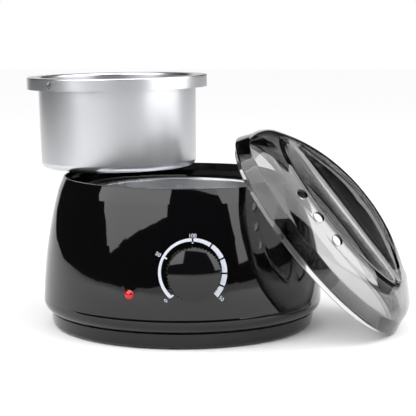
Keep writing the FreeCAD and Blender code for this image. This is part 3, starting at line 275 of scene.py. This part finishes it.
def moulded_plastic(name, colour, roughness, grain, depth):
    """Matt moulded plastic or rubber: fine spark-eroded grain and a slight mottle."""
    made, tree, output = new_material(name)
    place = add_node(tree, "ShaderNodeTexCoord").outputs["Object"]
    speck = add_node(tree, "ShaderNodeTexNoise", {"Vector": place, "Scale": 1 / grain, "Detail": 2.0})
    # The mottle's patches are about 12 mm across.
    mottle = add_node(tree, "ShaderNodeTexNoise", {"Vector": place, "Scale": 1 / 0.012, "Detail": 3.0})
    base = linear(colour)
    darker = tuple(c * 0.8 for c in base[:3]) + (1.0,)
    shade = add_node(tree, "ShaderNodeMix", data_type="RGBA")
    shade.inputs[6].default_value = darker
    shade.inputs[7].default_value = base
    tree.links.new(mottle.outputs["Fac"], shade.inputs[0])
    bump = add_node(tree, "ShaderNodeBump", {"Height": speck.outputs["Fac"], "Strength": 0.6,
                                             "Distance": depth})
    shader = add_node(tree, "ShaderNodeBsdfPrincipled", {
        "Base Color": shade.outputs[2], "Roughness": roughness, "IOR": 1.5,
        "Normal": bump.outputs["Normal"]})
    tree.links.new(shader.outputs["BSDF"], output.inputs["Surface"])
    return made


def spun_aluminium(name, colour, roughness, centre, grain_depth):
    """Spun and bead-blasted aluminium: satin, with fine grain and faint rings from the spinning tool."""
    made, tree, output = new_material(name)
    place = add_node(tree, "ShaderNodeTexCoord").outputs["Object"]
    own = add_node(tree, "ShaderNodeMapping", {"Vector": place, "Location": tuple(-c for c in centre)})
    split = add_node(tree, "ShaderNodeSeparateXYZ", {"Vector": own.outputs["Vector"]})
    across = add_node(tree, "ShaderNodeCombineXYZ", {"X": split.outputs["X"], "Y": split.outputs["Y"]})
    radius = add_node(tree, "ShaderNodeVectorMath", {0: across.outputs["Vector"]}, operation="LENGTH")
    turn = add_node(tree, "ShaderNodeMath", {0: split.outputs["Y"], 1: split.outputs["X"]},
                    operation="ARCTAN2")
    slow = add_node(tree, "ShaderNodeMath", {0: turn.outputs[0], 1: 0.004}, operation="MULTIPLY")
    rings = add_node(tree, "ShaderNodeCombineXYZ", {"X": radius.outputs["Value"], "Y": slow.outputs[0],
                                                    "Z": split.outputs["Z"]})
    # Tool rings are about 0.7 mm apart; the bead-blasted grain is about 0.5 mm.
    ring = add_node(tree, "ShaderNodeTexNoise", {"Vector": rings.outputs["Vector"],
                                                 "Scale": 1 / 0.0007, "Detail": 1.0})
    grain = add_node(tree, "ShaderNodeTexNoise", {"Vector": place, "Scale": 1 / 0.0005, "Detail": 2.0})
    relief = add_node(tree, "ShaderNodeMath", {0: ring.outputs["Fac"], 1: grain.outputs["Fac"]},
                      operation="ADD")
    bump = add_node(tree, "ShaderNodeBump", {"Height": relief.outputs[0], "Strength": 0.5,
                                             "Distance": grain_depth})
    # Blasting leaves cloudy patches, about 18 mm across, a little duller or brighter than the rest.
    cloud = add_node(tree, "ShaderNodeTexNoise", {"Vector": place, "Scale": 1 / 0.018, "Detail": 3.0})
    dull = add_node(tree, "ShaderNodeMapRange", {"Value": cloud.outputs["Fac"], "To Min": roughness * 0.9,
                                                 "To Max": roughness * 1.12})
    shader = add_node(tree, "ShaderNodeBsdfPrincipled", {
        "Base Color": linear(colour), "Metallic": 1.0, "Roughness": dull.outputs["Result"],
        "Normal": bump.outputs["Normal"]})
    tree.links.new(shader.outputs["BSDF"], output.inputs["Surface"])
    return made


def sheet_metal(name, colour, roughness, grain):
    """Rolled or plated metal: long faint rolling marks along X."""
    made, tree, output = new_material(name)
    place = add_node(tree, "ShaderNodeTexCoord").outputs["Object"]
    # The marks are twenty times as long as they are wide.
    drawn = add_node(tree, "ShaderNodeMapping", {"Vector": place, "Scale": (0.05, 1.0, 1.0)})
    mark = add_node(tree, "ShaderNodeTexNoise", {"Vector": drawn.outputs["Vector"], "Scale": 1 / grain,
                                                 "Detail": 2.0})
    dull = add_node(tree, "ShaderNodeMapRange", {"Value": mark.outputs["Fac"], "To Min": roughness * 0.8,
                                                 "To Max": roughness * 1.25})
    bump = add_node(tree, "ShaderNodeBump", {"Height": mark.outputs["Fac"], "Strength": 0.3,
                                             "Distance": 0.00002})
    shader = add_node(tree, "ShaderNodeBsdfPrincipled", {
        "Base Color": linear(colour), "Metallic": 1.0, "Roughness": dull.outputs["Result"],
        "Normal": bump.outputs["Normal"]})
    tree.links.new(shader.outputs["BSDF"], output.inputs["Surface"])
    return made


def smoked_styrene(name, tint):
    """Clear styrene with smoke-grey dye: what crosses more of it comes out darker."""
    made, tree, output = new_material(name)
    place = add_node(tree, "ShaderNodeTexCoord").outputs["Object"]
    # Flow ripples are about 30 mm long.
    wave = add_node(tree, "ShaderNodeTexNoise", {"Vector": place, "Scale": 1 / 0.030, "Detail": 0.0})
    bump = add_node(tree, "ShaderNodeBump", {"Height": wave.outputs["Fac"], "Strength": 1.0,
                                             "Distance": 0.00002})
    shader = add_node(tree, "ShaderNodeBsdfPrincipled", {
        "Base Color": linear("#FFFFFF"), "Roughness": 0.0, "IOR": 1.57, "Transmission Weight": 1.0,
        "Normal": bump.outputs["Normal"]})
    # Dye strength: a 2.2 mm wall lets about half of the light through.
    smoke = add_node(tree, "ShaderNodeVolumeAbsorption", {"Color": linear(tint), "Density": 290.0})
    tree.links.new(shader.outputs["BSDF"], output.inputs["Surface"])
    tree.links.new(smoke.outputs["Volume"], output.inputs["Volume"])
    return made


def printed_ink(name, colour):
    """Pad-printed epoxy ink: flat white with a slightly uneven film."""
    made, tree, output = new_material(name)
    place = add_node(tree, "ShaderNodeTexCoord").outputs["Object"]
    # The film's unevenness is about 0.8 mm across.
    film = add_node(tree, "ShaderNodeTexNoise", {"Vector": place, "Scale": 1 / 0.0008, "Detail": 2.0})
    dull = add_node(tree, "ShaderNodeMapRange", {"Value": film.outputs["Fac"], "To Min": 0.4,
                                                 "To Max": 0.6})
    shader = add_node(tree, "ShaderNodeBsdfPrincipled", {
        "Base Color": linear(colour), "Roughness": dull.outputs["Result"], "IOR": 1.5})
    tree.links.new(shader.outputs["BSDF"], output.inputs["Surface"])
    return made


def red_lens(name, colour):
    """Clear red acrylic over a lit neon: deep colour, a glossy skin and a little light of its own."""
    made, tree, output = new_material(name)
    place = add_node(tree, "ShaderNodeTexCoord").outputs["Object"]
    # The lens's inside is moulded in cells about 1.2 mm across.
    cell = add_node(tree, "ShaderNodeTexVoronoi", {"Vector": place, "Scale": 1 / 0.0012})
    bump = add_node(tree, "ShaderNodeBump", {"Height": cell.outputs["Distance"], "Strength": 0.15,
                                             "Distance": 0.0001})
    shader = add_node(tree, "ShaderNodeBsdfPrincipled", {
        "Base Color": linear(colour), "Roughness": 0.14, "IOR": 1.49, "Coat Weight": 0.2,
        "Subsurface Weight": 0.25, "Subsurface Radius": (0.002, 0.0004, 0.0004),
        "Emission Color": linear(colour), "Emission Strength": 0.12,
        "Normal": bump.outputs["Normal"]})
    tree.links.new(shader.outputs["BSDF"], output.inputs["Surface"])
    return made


def glass_felt(name, colour):
    """Needled glass-fibre felt: matt, with tufts of fibre about 1.5 mm across."""
    made, tree, output = new_material(name)
    place = add_node(tree, "ShaderNodeTexCoord").outputs["Object"]
    fibre = add_node(tree, "ShaderNodeTexNoise", {"Vector": place, "Scale": 1 / 0.0015, "Detail": 6.0,
                                                  "Distortion": 2.0})
    bump = add_node(tree, "ShaderNodeBump", {"Height": fibre.outputs["Fac"], "Strength": 1.0,
                                             "Distance": 0.0004})
    shader = add_node(tree, "ShaderNodeBsdfPrincipled", {
        "Base Color": linear(colour), "Roughness": 0.95, "Sheen Weight": 0.3,
        "Normal": bump.outputs["Normal"]})
    tree.links.new(shader.outputs["BSDF"], output.inputs["Surface"])
    return made


# ---- the warmer ----------------------------------------------------------------------------
class WAXMELTER_OT_warmer(bpy.types.Operator):
    """Give the warmer's mouldings, well and pot their finishes"""
    bl_idname = "waxmelter.warmer"
    bl_label = "Warmer and pot"

    def execute(self, context):
        settings = context.scene.waxmelter_warmer
        polished = gloss_abs("polished_black_abs", settings.shell, roughness=0.03, ripple=0.000012)
        set_material("housing_shell", polished)
        set_material("well_deck", polished)
        set_material("base_plinth", gloss_abs("moulded_black_abs", settings.shell, roughness=0.10,
                                              ripple=0.00001))
        low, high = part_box("wax_pot")
        middle = (low + high) / 2
        set_material("wax_pot", spun_aluminium("bead_blasted_spun_aluminium", settings.pot,
                                               roughness=0.30, centre=middle, grain_depth=0.000025))
        set_material("wax_well", spun_aluminium("spun_aluminium_liner", settings.metal, roughness=0.28,
                                                centre=(0, 0, 0), grain_depth=0.00004))
        set_material("indicator_lens", red_lens("red_acrylic", settings.lens))
        return {"FINISHED"}


class WAXMELTER_OT_fittings(bpy.types.Operator):
    """Give the feet, fixings and inner pieces their finishes"""
    bl_idname = "waxmelter.fittings"
    bl_label = "Feet, fixings and inner pieces"

    def execute(self, context):
        rubber = moulded_plastic("moulded_rubber", "#1C1C1C", 0.7, 0.0004, 0.00003)
        nylon = moulded_plastic("natural_nylon", "#D8D6CC", 0.45, 0.0005, 0.00002)
        phenolic = moulded_plastic("brown_phenolic", "#3A2A22", 0.4, 0.0006, 0.00002)
        zinc = sheet_metal("zinc_plated_steel", "#C4C3BE", 0.3, 0.0004)
        steel = sheet_metal("rolled_steel_strip", "#A9AAAC", 0.35, 0.0005)
        brass = sheet_metal("stamped_brass", "#C9A45A", 0.3, 0.0004)
        finishes = {
            rubber: ("rubber_feet", "cord_bushing"),
            nylon: ("lamp_holder", "terminal_block"),
            phenolic: ("thermostat_body",),
            zinc: ("base_screws", "bridge_screws", "strap_bolt", "well_nut", "clip_nut",
                   "thermostat_nut"),
            steel: ("retaining_bridge", "band_strap", "fuse_clip", "thermostat_shaft"),
            brass: ("heater_terminals", "thermostat_tabs", "terminal_screws"),
            moulded_plastic("mica_and_ceramic", "#C8BDA0", 0.8, 0.0015, 0.0001): ("heater_band",),
            moulded_plastic("silicone_sleeve", "#D9D2C6", 0.5, 0.0008, 0.00003): ("wiring",),
            glass_felt("glass_fibre_felt", "#D6D1C2"): ("insulation_sleeve",),
            sheet_metal("drawn_fuse_case", "#CFCFD2", 0.22, 0.0003): ("thermal_fuse",),
            moulded_plastic("frosted_lamp_glass", "#E8A070", 0.2, 0.0008, 0.00001): ("indicator_lamp",),
        }
        for material, nodes in finishes.items():
            for node in nodes:
                set_material(node, material)
        return {"FINISHED"}


# ---- knob and dial -------------------------------------------------------------------------
INK_FILM = 0.00006    # half the thickness of a printed number
INK_LIFT = 1.5        # from the wall to the middle of the print, in INK_FILMs
RAY_START = 0.02      # out from the dial's plane, where the search for the wall starts


class WAXMELTER_OT_dial(bpy.types.Operator):
    """Finish the knob and the printed scale, and print the scale's numbers on the wall"""
    bl_idname = "waxmelter.dial"
    bl_label = "Knob and dial"

    def execute(self, context):
        settings = context.scene.waxmelter_dial
        place = joint_frame(JOINTS["knob_turn"])
        set_material("control_knob", gloss_abs("moulded_knob_abs", "#08080A", roughness=0.05,
                                               ripple=0.000006))
        ink = printed_ink("white_pad_ink", settings.ink)
        set_material("dial_scale", ink)
        wall = BVHTree.FromObject(frame["nodes"]["housing_shell"],
                                  context.evaluated_depsgraph_get())
        # Text, angle clockwise from the top, the way it reads, and how far out it stands.
        numbers = (("0", -135.4, 45.0, 1.0), ("50", -61.7, -30.5, 1.008),
                   ("100", 0.0, 0.0, 0.95), ("150", 133.0, -43.0, 0.963))
        for text, angle, reading, outer in numbers:
            made = self.number(context, settings, text, math.radians(angle), math.radians(reading),
                               outer, place, wall)
            made.data.materials.append(ink)
            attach(made, "warmer")
        return {"FINISHED"}

    def number(self, context, settings, text, angle, reading, outer, place, wall):
        """One number as a thin film of ink that follows the wall."""
        curve = bpy.data.curves.new("dial_number_" + text, "FONT")
        curve.body = text
        curve.size = settings.number_height
        curve.extrude = INK_FILM
        curve.align_x = "CENTER"
        curve.align_y = "CENTER"
        typed = bpy.data.objects.new("typed", curve)
        context.scene.collection.objects.link(typed)
        mesh = evaluated_mesh(typed)
        bpy.data.objects.remove(typed)
        reach = settings.number_radius * outer
        centre = Vector((math.sin(angle) * reach, math.cos(angle) * reach, 0))
        turned = Matrix.Rotation(reading, 4, "Z")
        outward = place.to_3x3() @ Vector((0, 0, 1))
        for vertex in mesh.vertices:
            flat = turned @ Vector((vertex.co.x, vertex.co.y, 0)) + centre
            start = place @ (flat + Vector((0, 0, RAY_START)))
            hit = wall.ray_cast(start, -outward)[0]
            if hit is None:
                raise RuntimeError("a number of the dial misses the wall")
            vertex.co = hit + outward * (vertex.co.z + INK_FILM * INK_LIFT)
        made = bpy.data.objects.new("dial_number_" + text, mesh)
        context.scene.collection.objects.link(made)
        return made


# ---- lid -----------------------------------------------------------------------------------
SKIN_STEP = 0.0008                      # between rings of the lid's skins
SCOOP_STEEP = math.radians(72)          # of a scoop's wall, from the lid's own level
LIP = 0.0022                            # height over which a scoop's wall blends into the dome
LIP_GROWTH = 0.3                        # of the lip, per metre that a skin is moved in
CREASE_TUCK = (0.0002, 0.0004)          # in and up from the crease, where the rim's outline starts
# Corners from the crease down the band, over its foot and round the skirt's foot.
RIM_ROUNDS = (0.0003, 0.0005, 0.0003, 0.0004, 0.0004)
RIM_STEP = 0.0002                       # between points of a rounded corner
VENT_SIDES = 56
CUTTER_HALF = 0.006                     # half the length of what cuts a vent
LID_ORIGIN = (0.09071, -0.02094, 0.06386)  # middle of the band's foot, as the lid leans
GRIP_TURN = math.radians(-6.7)          # of the grip bar, from the line of steepest fall


class LidShape:
    """Heights of the lid's outer and inner skins, in its own frame, in metres."""

    def __init__(self, s):
        self.s = s
        self.crown_z = s.band_height + s.dome_rise - s.dome_radius
        span = s.dome_radius - s.shoulder_radius
        drop = s.band_height - self.crown_z
        crease_span = math.hypot(s.crease_radius, drop)
        between = math.acos((crease_span ** 2 + span ** 2 - s.shoulder_radius ** 2)
                            / (2 * crease_span * span))
        self.meet = math.atan2(drop, s.crease_radius) + between
        self.centre = (span * math.cos(self.meet), self.crown_z + span * math.sin(self.meet))
        self.foot = math.asin((s.band_height - self.centre[1]) / s.shoulder_radius)

    def dome(self, r, inset):
        """Height of the plain dome at radius r, moved in by inset."""
        crown = self.s.dome_radius - inset
        shoulder = self.s.shoulder_radius - inset
        on_crown = self.crown_z + np.sqrt(np.maximum(crown ** 2 - r ** 2, 0))
        beyond = np.clip(r - self.centre[0], 0, shoulder)
        on_shoulder = self.centre[1] + np.sqrt(np.maximum(shoulder ** 2 - beyond ** 2, 0))
        return np.where(r < crown * math.cos(self.meet), on_crown, on_shoulder)

    def height(self, x, y, inset):
        """Height of the skin over a point, with the finger scoops let in."""
        s = self.s
        r = np.hypot(x, y)
        plain = self.dome(r, inset)
        corner = s.scoop_corner + inset
        out = r - s.scoop_radius - inset
        bar = s.grip_half - inset - np.abs(y)
        edge = (np.minimum(np.maximum(out, bar), -corner)
                + np.hypot(np.maximum(out + corner, 0), np.maximum(bar + corner, 0)))
        floor = s.band_height + s.scoop_floor - inset
        turn = s.scoop_round + inset
        start = -turn * math.sin(SCOOP_STEEP)
        into = np.clip(edge - start, 0, turn * math.sin(SCOOP_STEEP))
        bowl = floor + turn - np.sqrt(np.maximum(turn ** 2 - into ** 2, 0))
        wall = bowl + np.maximum(edge, 0) * math.tan(SCOOP_STEEP)
        lip = LIP + inset * LIP_GROWTH
        mix = np.clip(0.5 + 0.5 * (wall - plain) / lip, 0, 1)
        return wall + (plain - wall) * mix - lip * mix * (1 - mix)

    def profile_radii(self, inset, low_angle, step):
        """Radii from the axis to the dome's foot, evenly spaced along the profile."""
        crown = self.s.dome_radius - inset
        shoulder = self.s.shoulder_radius - inset
        crown_angle = math.pi / 2 - self.meet
        crown_steps = int(crown * crown_angle / step)
        shoulder_steps = int(shoulder * (self.meet - low_angle) / step) + 2
        radii = [crown * math.sin(crown_angle * (k + 1) / crown_steps) for k in range(crown_steps)]
        for k in range(1, shoulder_steps + 1):
            angle = self.meet + (low_angle - self.meet) * k / shoulder_steps
            radii.append(self.centre[0] + shoulder * math.cos(angle))
        return radii


class WAXMELTER_OT_lid(bpy.types.Operator):
    """Mould the smoked lid with its grip bar, its scoops, its band and its vents"""
    bl_idname = "waxmelter.lid"
    bl_label = "Smoked lid"

    def execute(self, context):
        settings = context.scene.waxmelter_lid
        lid = self.shell(settings)
        self.pierce(lid, settings)
        lid.data.transform(self.place())
        lid.data.materials.append(smoked_styrene("smoked_clear_styrene", settings.tint))
        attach(lid, "lid")
        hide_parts("lid_shell")
        return {"FINISHED"}

    def shell(self, s):
        """Outer skin, rim and inner skin as one closed surface."""
        shape = LidShape(s)
        turns = np.arange(s.segments) * 2 * math.pi / s.segments
        cos, sin = np.cos(turns), np.sin(turns)
        rings = []
        for r in shape.profile_radii(0.0, shape.foot, SKIN_STEP)[:-1]:
            rings.append(np.c_[r * cos, r * sin, shape.height(r * cos, r * sin, 0.0)])
        inner_skirt = s.skirt_radius - s.skirt_wall
        inner_foot = shape.centre[0] + s.shoulder_radius - s.wall
        tuck_in, tuck_up = CREASE_TUCK
        rim = rounded_outline(
            [(s.crease_radius - tuck_in, s.band_height + tuck_up), (s.crease_radius, s.band_height),
             (s.band_radius, 0.0), (s.skirt_radius, 0.0), (s.skirt_radius, -s.skirt_depth),
             (inner_skirt, -s.skirt_depth), (inner_foot, shape.centre[1])],
            RIM_ROUNDS, RIM_STEP)
        for r, h in rim[1:]:
            rings.append(np.c_[r * cos, r * sin, np.full(s.segments, h)])
        for r in reversed(shape.profile_radii(s.wall, 0.0, SKIN_STEP)[:-1]):
            rings.append(np.c_[r * cos, r * sin, shape.height(r * cos, r * sin, s.wall)])
        nought = np.zeros(1)
        top = shape.height(nought, nought, 0.0)[0]
        under = shape.height(nought, nought, s.wall)[0]
        vertices = np.vstack([[(0, 0, top)]] + rings + [[(0, 0, under)]])
        return mesh_object("smoked_lid", vertices, closed_rings(rings))

    def pierce(self, lid, s):
        """Cut the three vents through the shoulder, square to it."""
        shape = LidShape(s)
        height = float(shape.dome(np.array([s.hole_circle]), 0.0)[0])
        lean = math.asin(s.hole_circle / s.dome_radius)
        outward = Vector((0, -math.sin(lean), math.cos(lean)))
        turned = outward.to_track_quat("Z", "Y").to_matrix().to_4x4()
        ends = []
        for h in (-CUTTER_HALF, CUTTER_HALF):
            for k in range(VENT_SIDES):
                angle = 2 * math.pi * k / VENT_SIDES
                ends.append((s.hole_radius * math.cos(angle), s.hole_radius * math.sin(angle), h))
        sides = [(k, (k + 1) % VENT_SIDES, (k + 1) % VENT_SIDES + VENT_SIDES, k + VENT_SIDES)
                 for k in range(VENT_SIDES)]
        caps = [tuple(reversed(range(VENT_SIDES))), tuple(range(VENT_SIDES, 2 * VENT_SIDES))]
        for number in (-1, 0, 1):
            cutter = mesh_object("vent_cutter", ends, sides + caps)
            cutter.data.transform(Matrix.Rotation(s.hole_turn + number * s.hole_step, 4, "Z")
                                  @ Matrix.Translation((0, -s.hole_circle, height)) @ turned)
            cut = lid.modifiers.new("vent", "BOOLEAN")
            cut.object = cutter
            cut.solver = "EXACT"
            mesh = evaluated_mesh(lid)
            lid.modifiers.remove(cut)
            lid.data = mesh
            bpy.data.objects.remove(cutter)
        lid.data.shade_smooth()
        lid.data.set_sharp_from_angle(angle=SHARP_ANGLE)

    def place(self):
        """Where the lid leans, from its joint's axis and the middle of its band."""
        axis = Vector(JOINTS["lid_lift"]["axis"]).normalized()
        fall = Vector((axis.x * axis.z, axis.y * axis.z, axis.z ** 2 - 1)).normalized()
        turned = Matrix((fall, axis.cross(fall), axis)).transposed().to_4x4()
        return Matrix.Translation(LID_ORIGIN) @ turned @ Matrix.Rotation(GRIP_TURN, 4, "Z")


# ---- studio --------------------------------------------------------------------------------
# Corners of each softbox as seen from BOX_CENTRE: turn from the front towards the right, and height,
# both in degrees.
BOX_CENTRE = (0.0, -0.085, 0.08)
LEFT_BOX = ((-63.6, 4.0), (-13.4, 18.6), (-8.0, 62.0), (-100.0, 52.0), (-88.0, 23.0))
RIGHT_BOX = ((49.4, 2.5), (108.0, 3.0), (119.0, 25.0), (140.0, 46.0), (90.0, 56.0), (36.0, 52.0),
             (40.0, 33.0))
OVERHEAD_BOX = ((-42.0, 36.0), (38.0, 36.0), (125.0, 48.0), (150.0, 56.0), (-125.0, 50.0))
LEFT_DISTANCE, RIGHT_DISTANCE, OVERHEAD_DISTANCE = 0.95, 1.0, 1.4
CLOTH_FOOT = 0.8               # glow at the foot of a softbox's cloth, against its top
SENSOR_WIDTH = 36.0            # in millimetres
FLOOR_X = (-1.2, 4.0)
FLOOR_Y = (-4.0, 5.0)
LIFT_START, LIFT_END = 0.3, 0.9  # distances over which the paper is lifted to white
LIFT_GLOW = 0.2
WHITE_TURN = math.radians(-168.0)  # of the white wall's middle, from the front towards the right
WHITE_EDGE = (0.927, 0.956)    # cosines of the angles from there at which the wall is dark and white
DARK_WALL = 0.015


class WAXMELTER_OT_stage(bpy.types.Operator):
    """Lay the floor, hang the softboxes and set up the camera"""
    bl_idname = "waxmelter.stage"
    bl_label = "Studio"

    def execute(self, context):
        settings = context.scene.waxmelter_stage
        self.floor()
        self.backdrop(context)
        self.softbox("left_softbox", LEFT_BOX, LEFT_DISTANCE, settings.left_light)
        self.softbox("right_softbox", RIGHT_BOX, RIGHT_DISTANCE, settings.right_light)
        self.softbox("overhead_softbox", OVERHEAD_BOX, OVERHEAD_DISTANCE, settings.top_light,
                     lights=False)
        lens = bpy.data.cameras.new("camera")
        lens.lens = settings.lens
        lens.sensor_width = SENSOR_WIDTH
        camera = bpy.data.objects.new("camera", lens)
        camera.location = settings.eye
        camera.rotation_euler = (math.pi / 2 - settings.tilt, 0, 0)
        context.scene.collection.objects.link(camera)
        context.scene.camera = camera
        context.scene.view_settings.view_transform = "Standard"
        return {"FINISHED"}

    def floor(self):
        """White paper that ends 1.2 m to the left of the object and lies 4 m or more out elsewhere."""
        made, tree, output = new_material("white_studio_paper")
        place = add_node(tree, "ShaderNodeTexCoord").outputs["Object"]
        tooth = add_node(tree, "ShaderNodeTexNoise", {"Vector": place, "Scale": 1 / 0.002, "Detail": 3.0})
        bump = add_node(tree, "ShaderNodeBump", {"Height": tooth.outputs["Fac"], "Strength": 0.1,
                                                 "Distance": 0.00005})
        paper = add_node(tree, "ShaderNodeBsdfDiffuse", {"Color": linear("#F4F4F4"),
                                                         "Normal": bump.outputs["Normal"]})
        # Away from the object the paper is lifted to white.
        away = add_node(tree, "ShaderNodeVectorMath", {0: place}, operation="LENGTH")
        lift = add_node(tree, "ShaderNodeMapRange", {
            "Value": away.outputs["Value"], "From Min": LIFT_START, "From Max": LIFT_END, "To Min": 0.0,
            "To Max": LIFT_GLOW},
                        interpolation_type="SMOOTHSTEP")
        glow = add_node(tree, "ShaderNodeEmission", {"Strength": lift.outputs["Result"]})
        both = add_node(tree, "ShaderNodeAddShader", {0: paper.outputs["BSDF"],
                                                      1: glow.outputs["Emission"]})
        tree.links.new(both.outputs["Shader"], output.inputs["Surface"])
        (left, right), (front, back) = FLOOR_X, FLOOR_Y
        corners = [(left, front, 0), (right, front, 0), (right, back, 0), (left, back, 0)]
        floor = mesh_object("studio_floor", corners, [(0, 1, 2, 3)])
        floor.data.materials.append(made)

    def backdrop(self, context):
        """White behind the object and a little to its left, dark on its other sides.

        Seen directly the room is white all round, and matt things are lit by it evenly.
        """
        world = bpy.data.worlds.new("studio")
        world.use_nodes = True
        tree = world.node_tree
        tree.nodes.clear()
        output = add_node(tree, "ShaderNodeOutputWorld")
        towards = add_node(tree, "ShaderNodeTexCoord").outputs["Generated"]
        facing = add_node(tree, "ShaderNodeVectorMath", {
            0: towards, 1: (math.sin(WHITE_TURN), -math.cos(WHITE_TURN), 0.0)}, operation="DOT_PRODUCT")
        dark, white = WHITE_EDGE
        wall = add_node(tree, "ShaderNodeMapRange", {
            "Value": facing.outputs["Value"], "From Min": dark, "From Max": white, "To Min": DARK_WALL,
            "To Max": 1.0}, interpolation_type="SMOOTHSTEP")
        path = add_node(tree, "ShaderNodeLightPath")
        ambient = add_node(tree, "ShaderNodeMath", {
            0: path.outputs["Is Diffuse Ray"], 1: context.scene.waxmelter_stage.ambient},
            operation="MULTIPLY")
        seen = add_node(tree, "ShaderNodeMath", {0: path.outputs["Is Camera Ray"],
                                                 1: ambient.outputs[0]}, operation="MAXIMUM")
        strength = add_node(tree, "ShaderNodeMath", {0: wall.outputs["Result"],
                                                     1: seen.outputs[0]}, operation="MAXIMUM")
        sky = add_node(tree, "ShaderNodeBackground", {"Color": linear("#FFFFFF"),
                                                      "Strength": strength.outputs[0]})
        tree.links.new(sky.outputs["Background"], output.inputs["Surface"])
        context.scene.world = world

    def softbox(self, name, corners, distance, radiance, lights=True):
        """A glowing panel that gloss and glass can see, and matt things where it lights them."""
        points = []
        for turn, height in corners:
            turn, height = math.radians(turn), math.radians(height)
            towards = Vector((math.sin(turn) * math.cos(height), -math.cos(turn) * math.cos(height),
                              math.sin(height)))
            points.append(Vector(BOX_CENTRE) + towards * distance)
        panel = mesh_object(name, points, [tuple(range(len(points)))])
        made, tree, output = new_material(name)
        up = add_node(tree, "ShaderNodeSeparateXYZ",
                      {"Vector": add_node(tree, "ShaderNodeTexCoord").outputs["Object"]})
        # The lamp sits high in the box, so the cloth glows brighter towards its top.
        low, high = min(p.z for p in points), max(p.z for p in points)
        glow = add_node(tree, "ShaderNodeMapRange", {"Value": up.outputs["Z"], "From Min": low,
                                                     "From Max": (low + high) / 2,
                                                     "To Min": radiance * CLOTH_FOOT, "To Max": radiance})
        lamp = add_node(tree, "ShaderNodeEmission", {"Strength": glow.outputs["Result"]})
        tree.links.new(lamp.outputs["Emission"], output.inputs["Surface"])
        panel.data.materials.append(made)
        panel.visible_camera = False
        panel.visible_diffuse = lights


# ---- panel and registration ----------------------------------------------------------------
OPERATORS = (WAXMELTER_OT_warmer, WAXMELTER_OT_fittings, WAXMELTER_OT_dial, WAXMELTER_OT_lid,
             WAXMELTER_OT_stage)
GROUPS = {"waxmelter_warmer": WarmerSettings, "waxmelter_dial": DialSettings,
          "waxmelter_lid": LidSettings, "waxmelter_stage": StageSettings}


class WAXMELTER_PT_panel(bpy.types.Panel):
    """Lists the pieces of the wax melter"""
    bl_idname = "WAXMELTER_PT_panel"
    bl_label = "Wax Melter"
    bl_space_type = "VIEW_3D"
    bl_region_type = "UI"
    bl_category = "Wax Melter"

    def draw(self, context):
        for operator in OPERATORS:
            self.layout.operator(operator.bl_idname)
        for name, group in GROUPS.items():
            box = self.layout.box()
            box.label(text=group.__doc__)
            for key in group.__annotations__:
                box.prop(getattr(context.scene, name), key)


def register():
    for group in GROUPS.values():
        bpy.utils.register_class(group)
    for name, group in GROUPS.items():
        setattr(bpy.types.Scene, name, PointerProperty(type=group))
    for operator in OPERATORS:
        bpy.utils.register_class(operator)
    bpy.utils.register_class(WAXMELTER_PT_panel)


def unregister():
    bpy.utils.unregister_class(WAXMELTER_PT_panel)
    for operator in reversed(OPERATORS):
        bpy.utils.unregister_class(operator)
    for name, group in reversed(GROUPS.items()):
        delattr(bpy.types.Scene, name)
        bpy.utils.unregister_class(group)


def main():
    register()
    bpy.ops.waxmelter.warmer()
    bpy.ops.waxmelter.fittings()
    bpy.ops.waxmelter.dial()
    bpy.ops.waxmelter.lid()
    bpy.ops.waxmelter.stage()


if __name__ == "__main__":
    main()
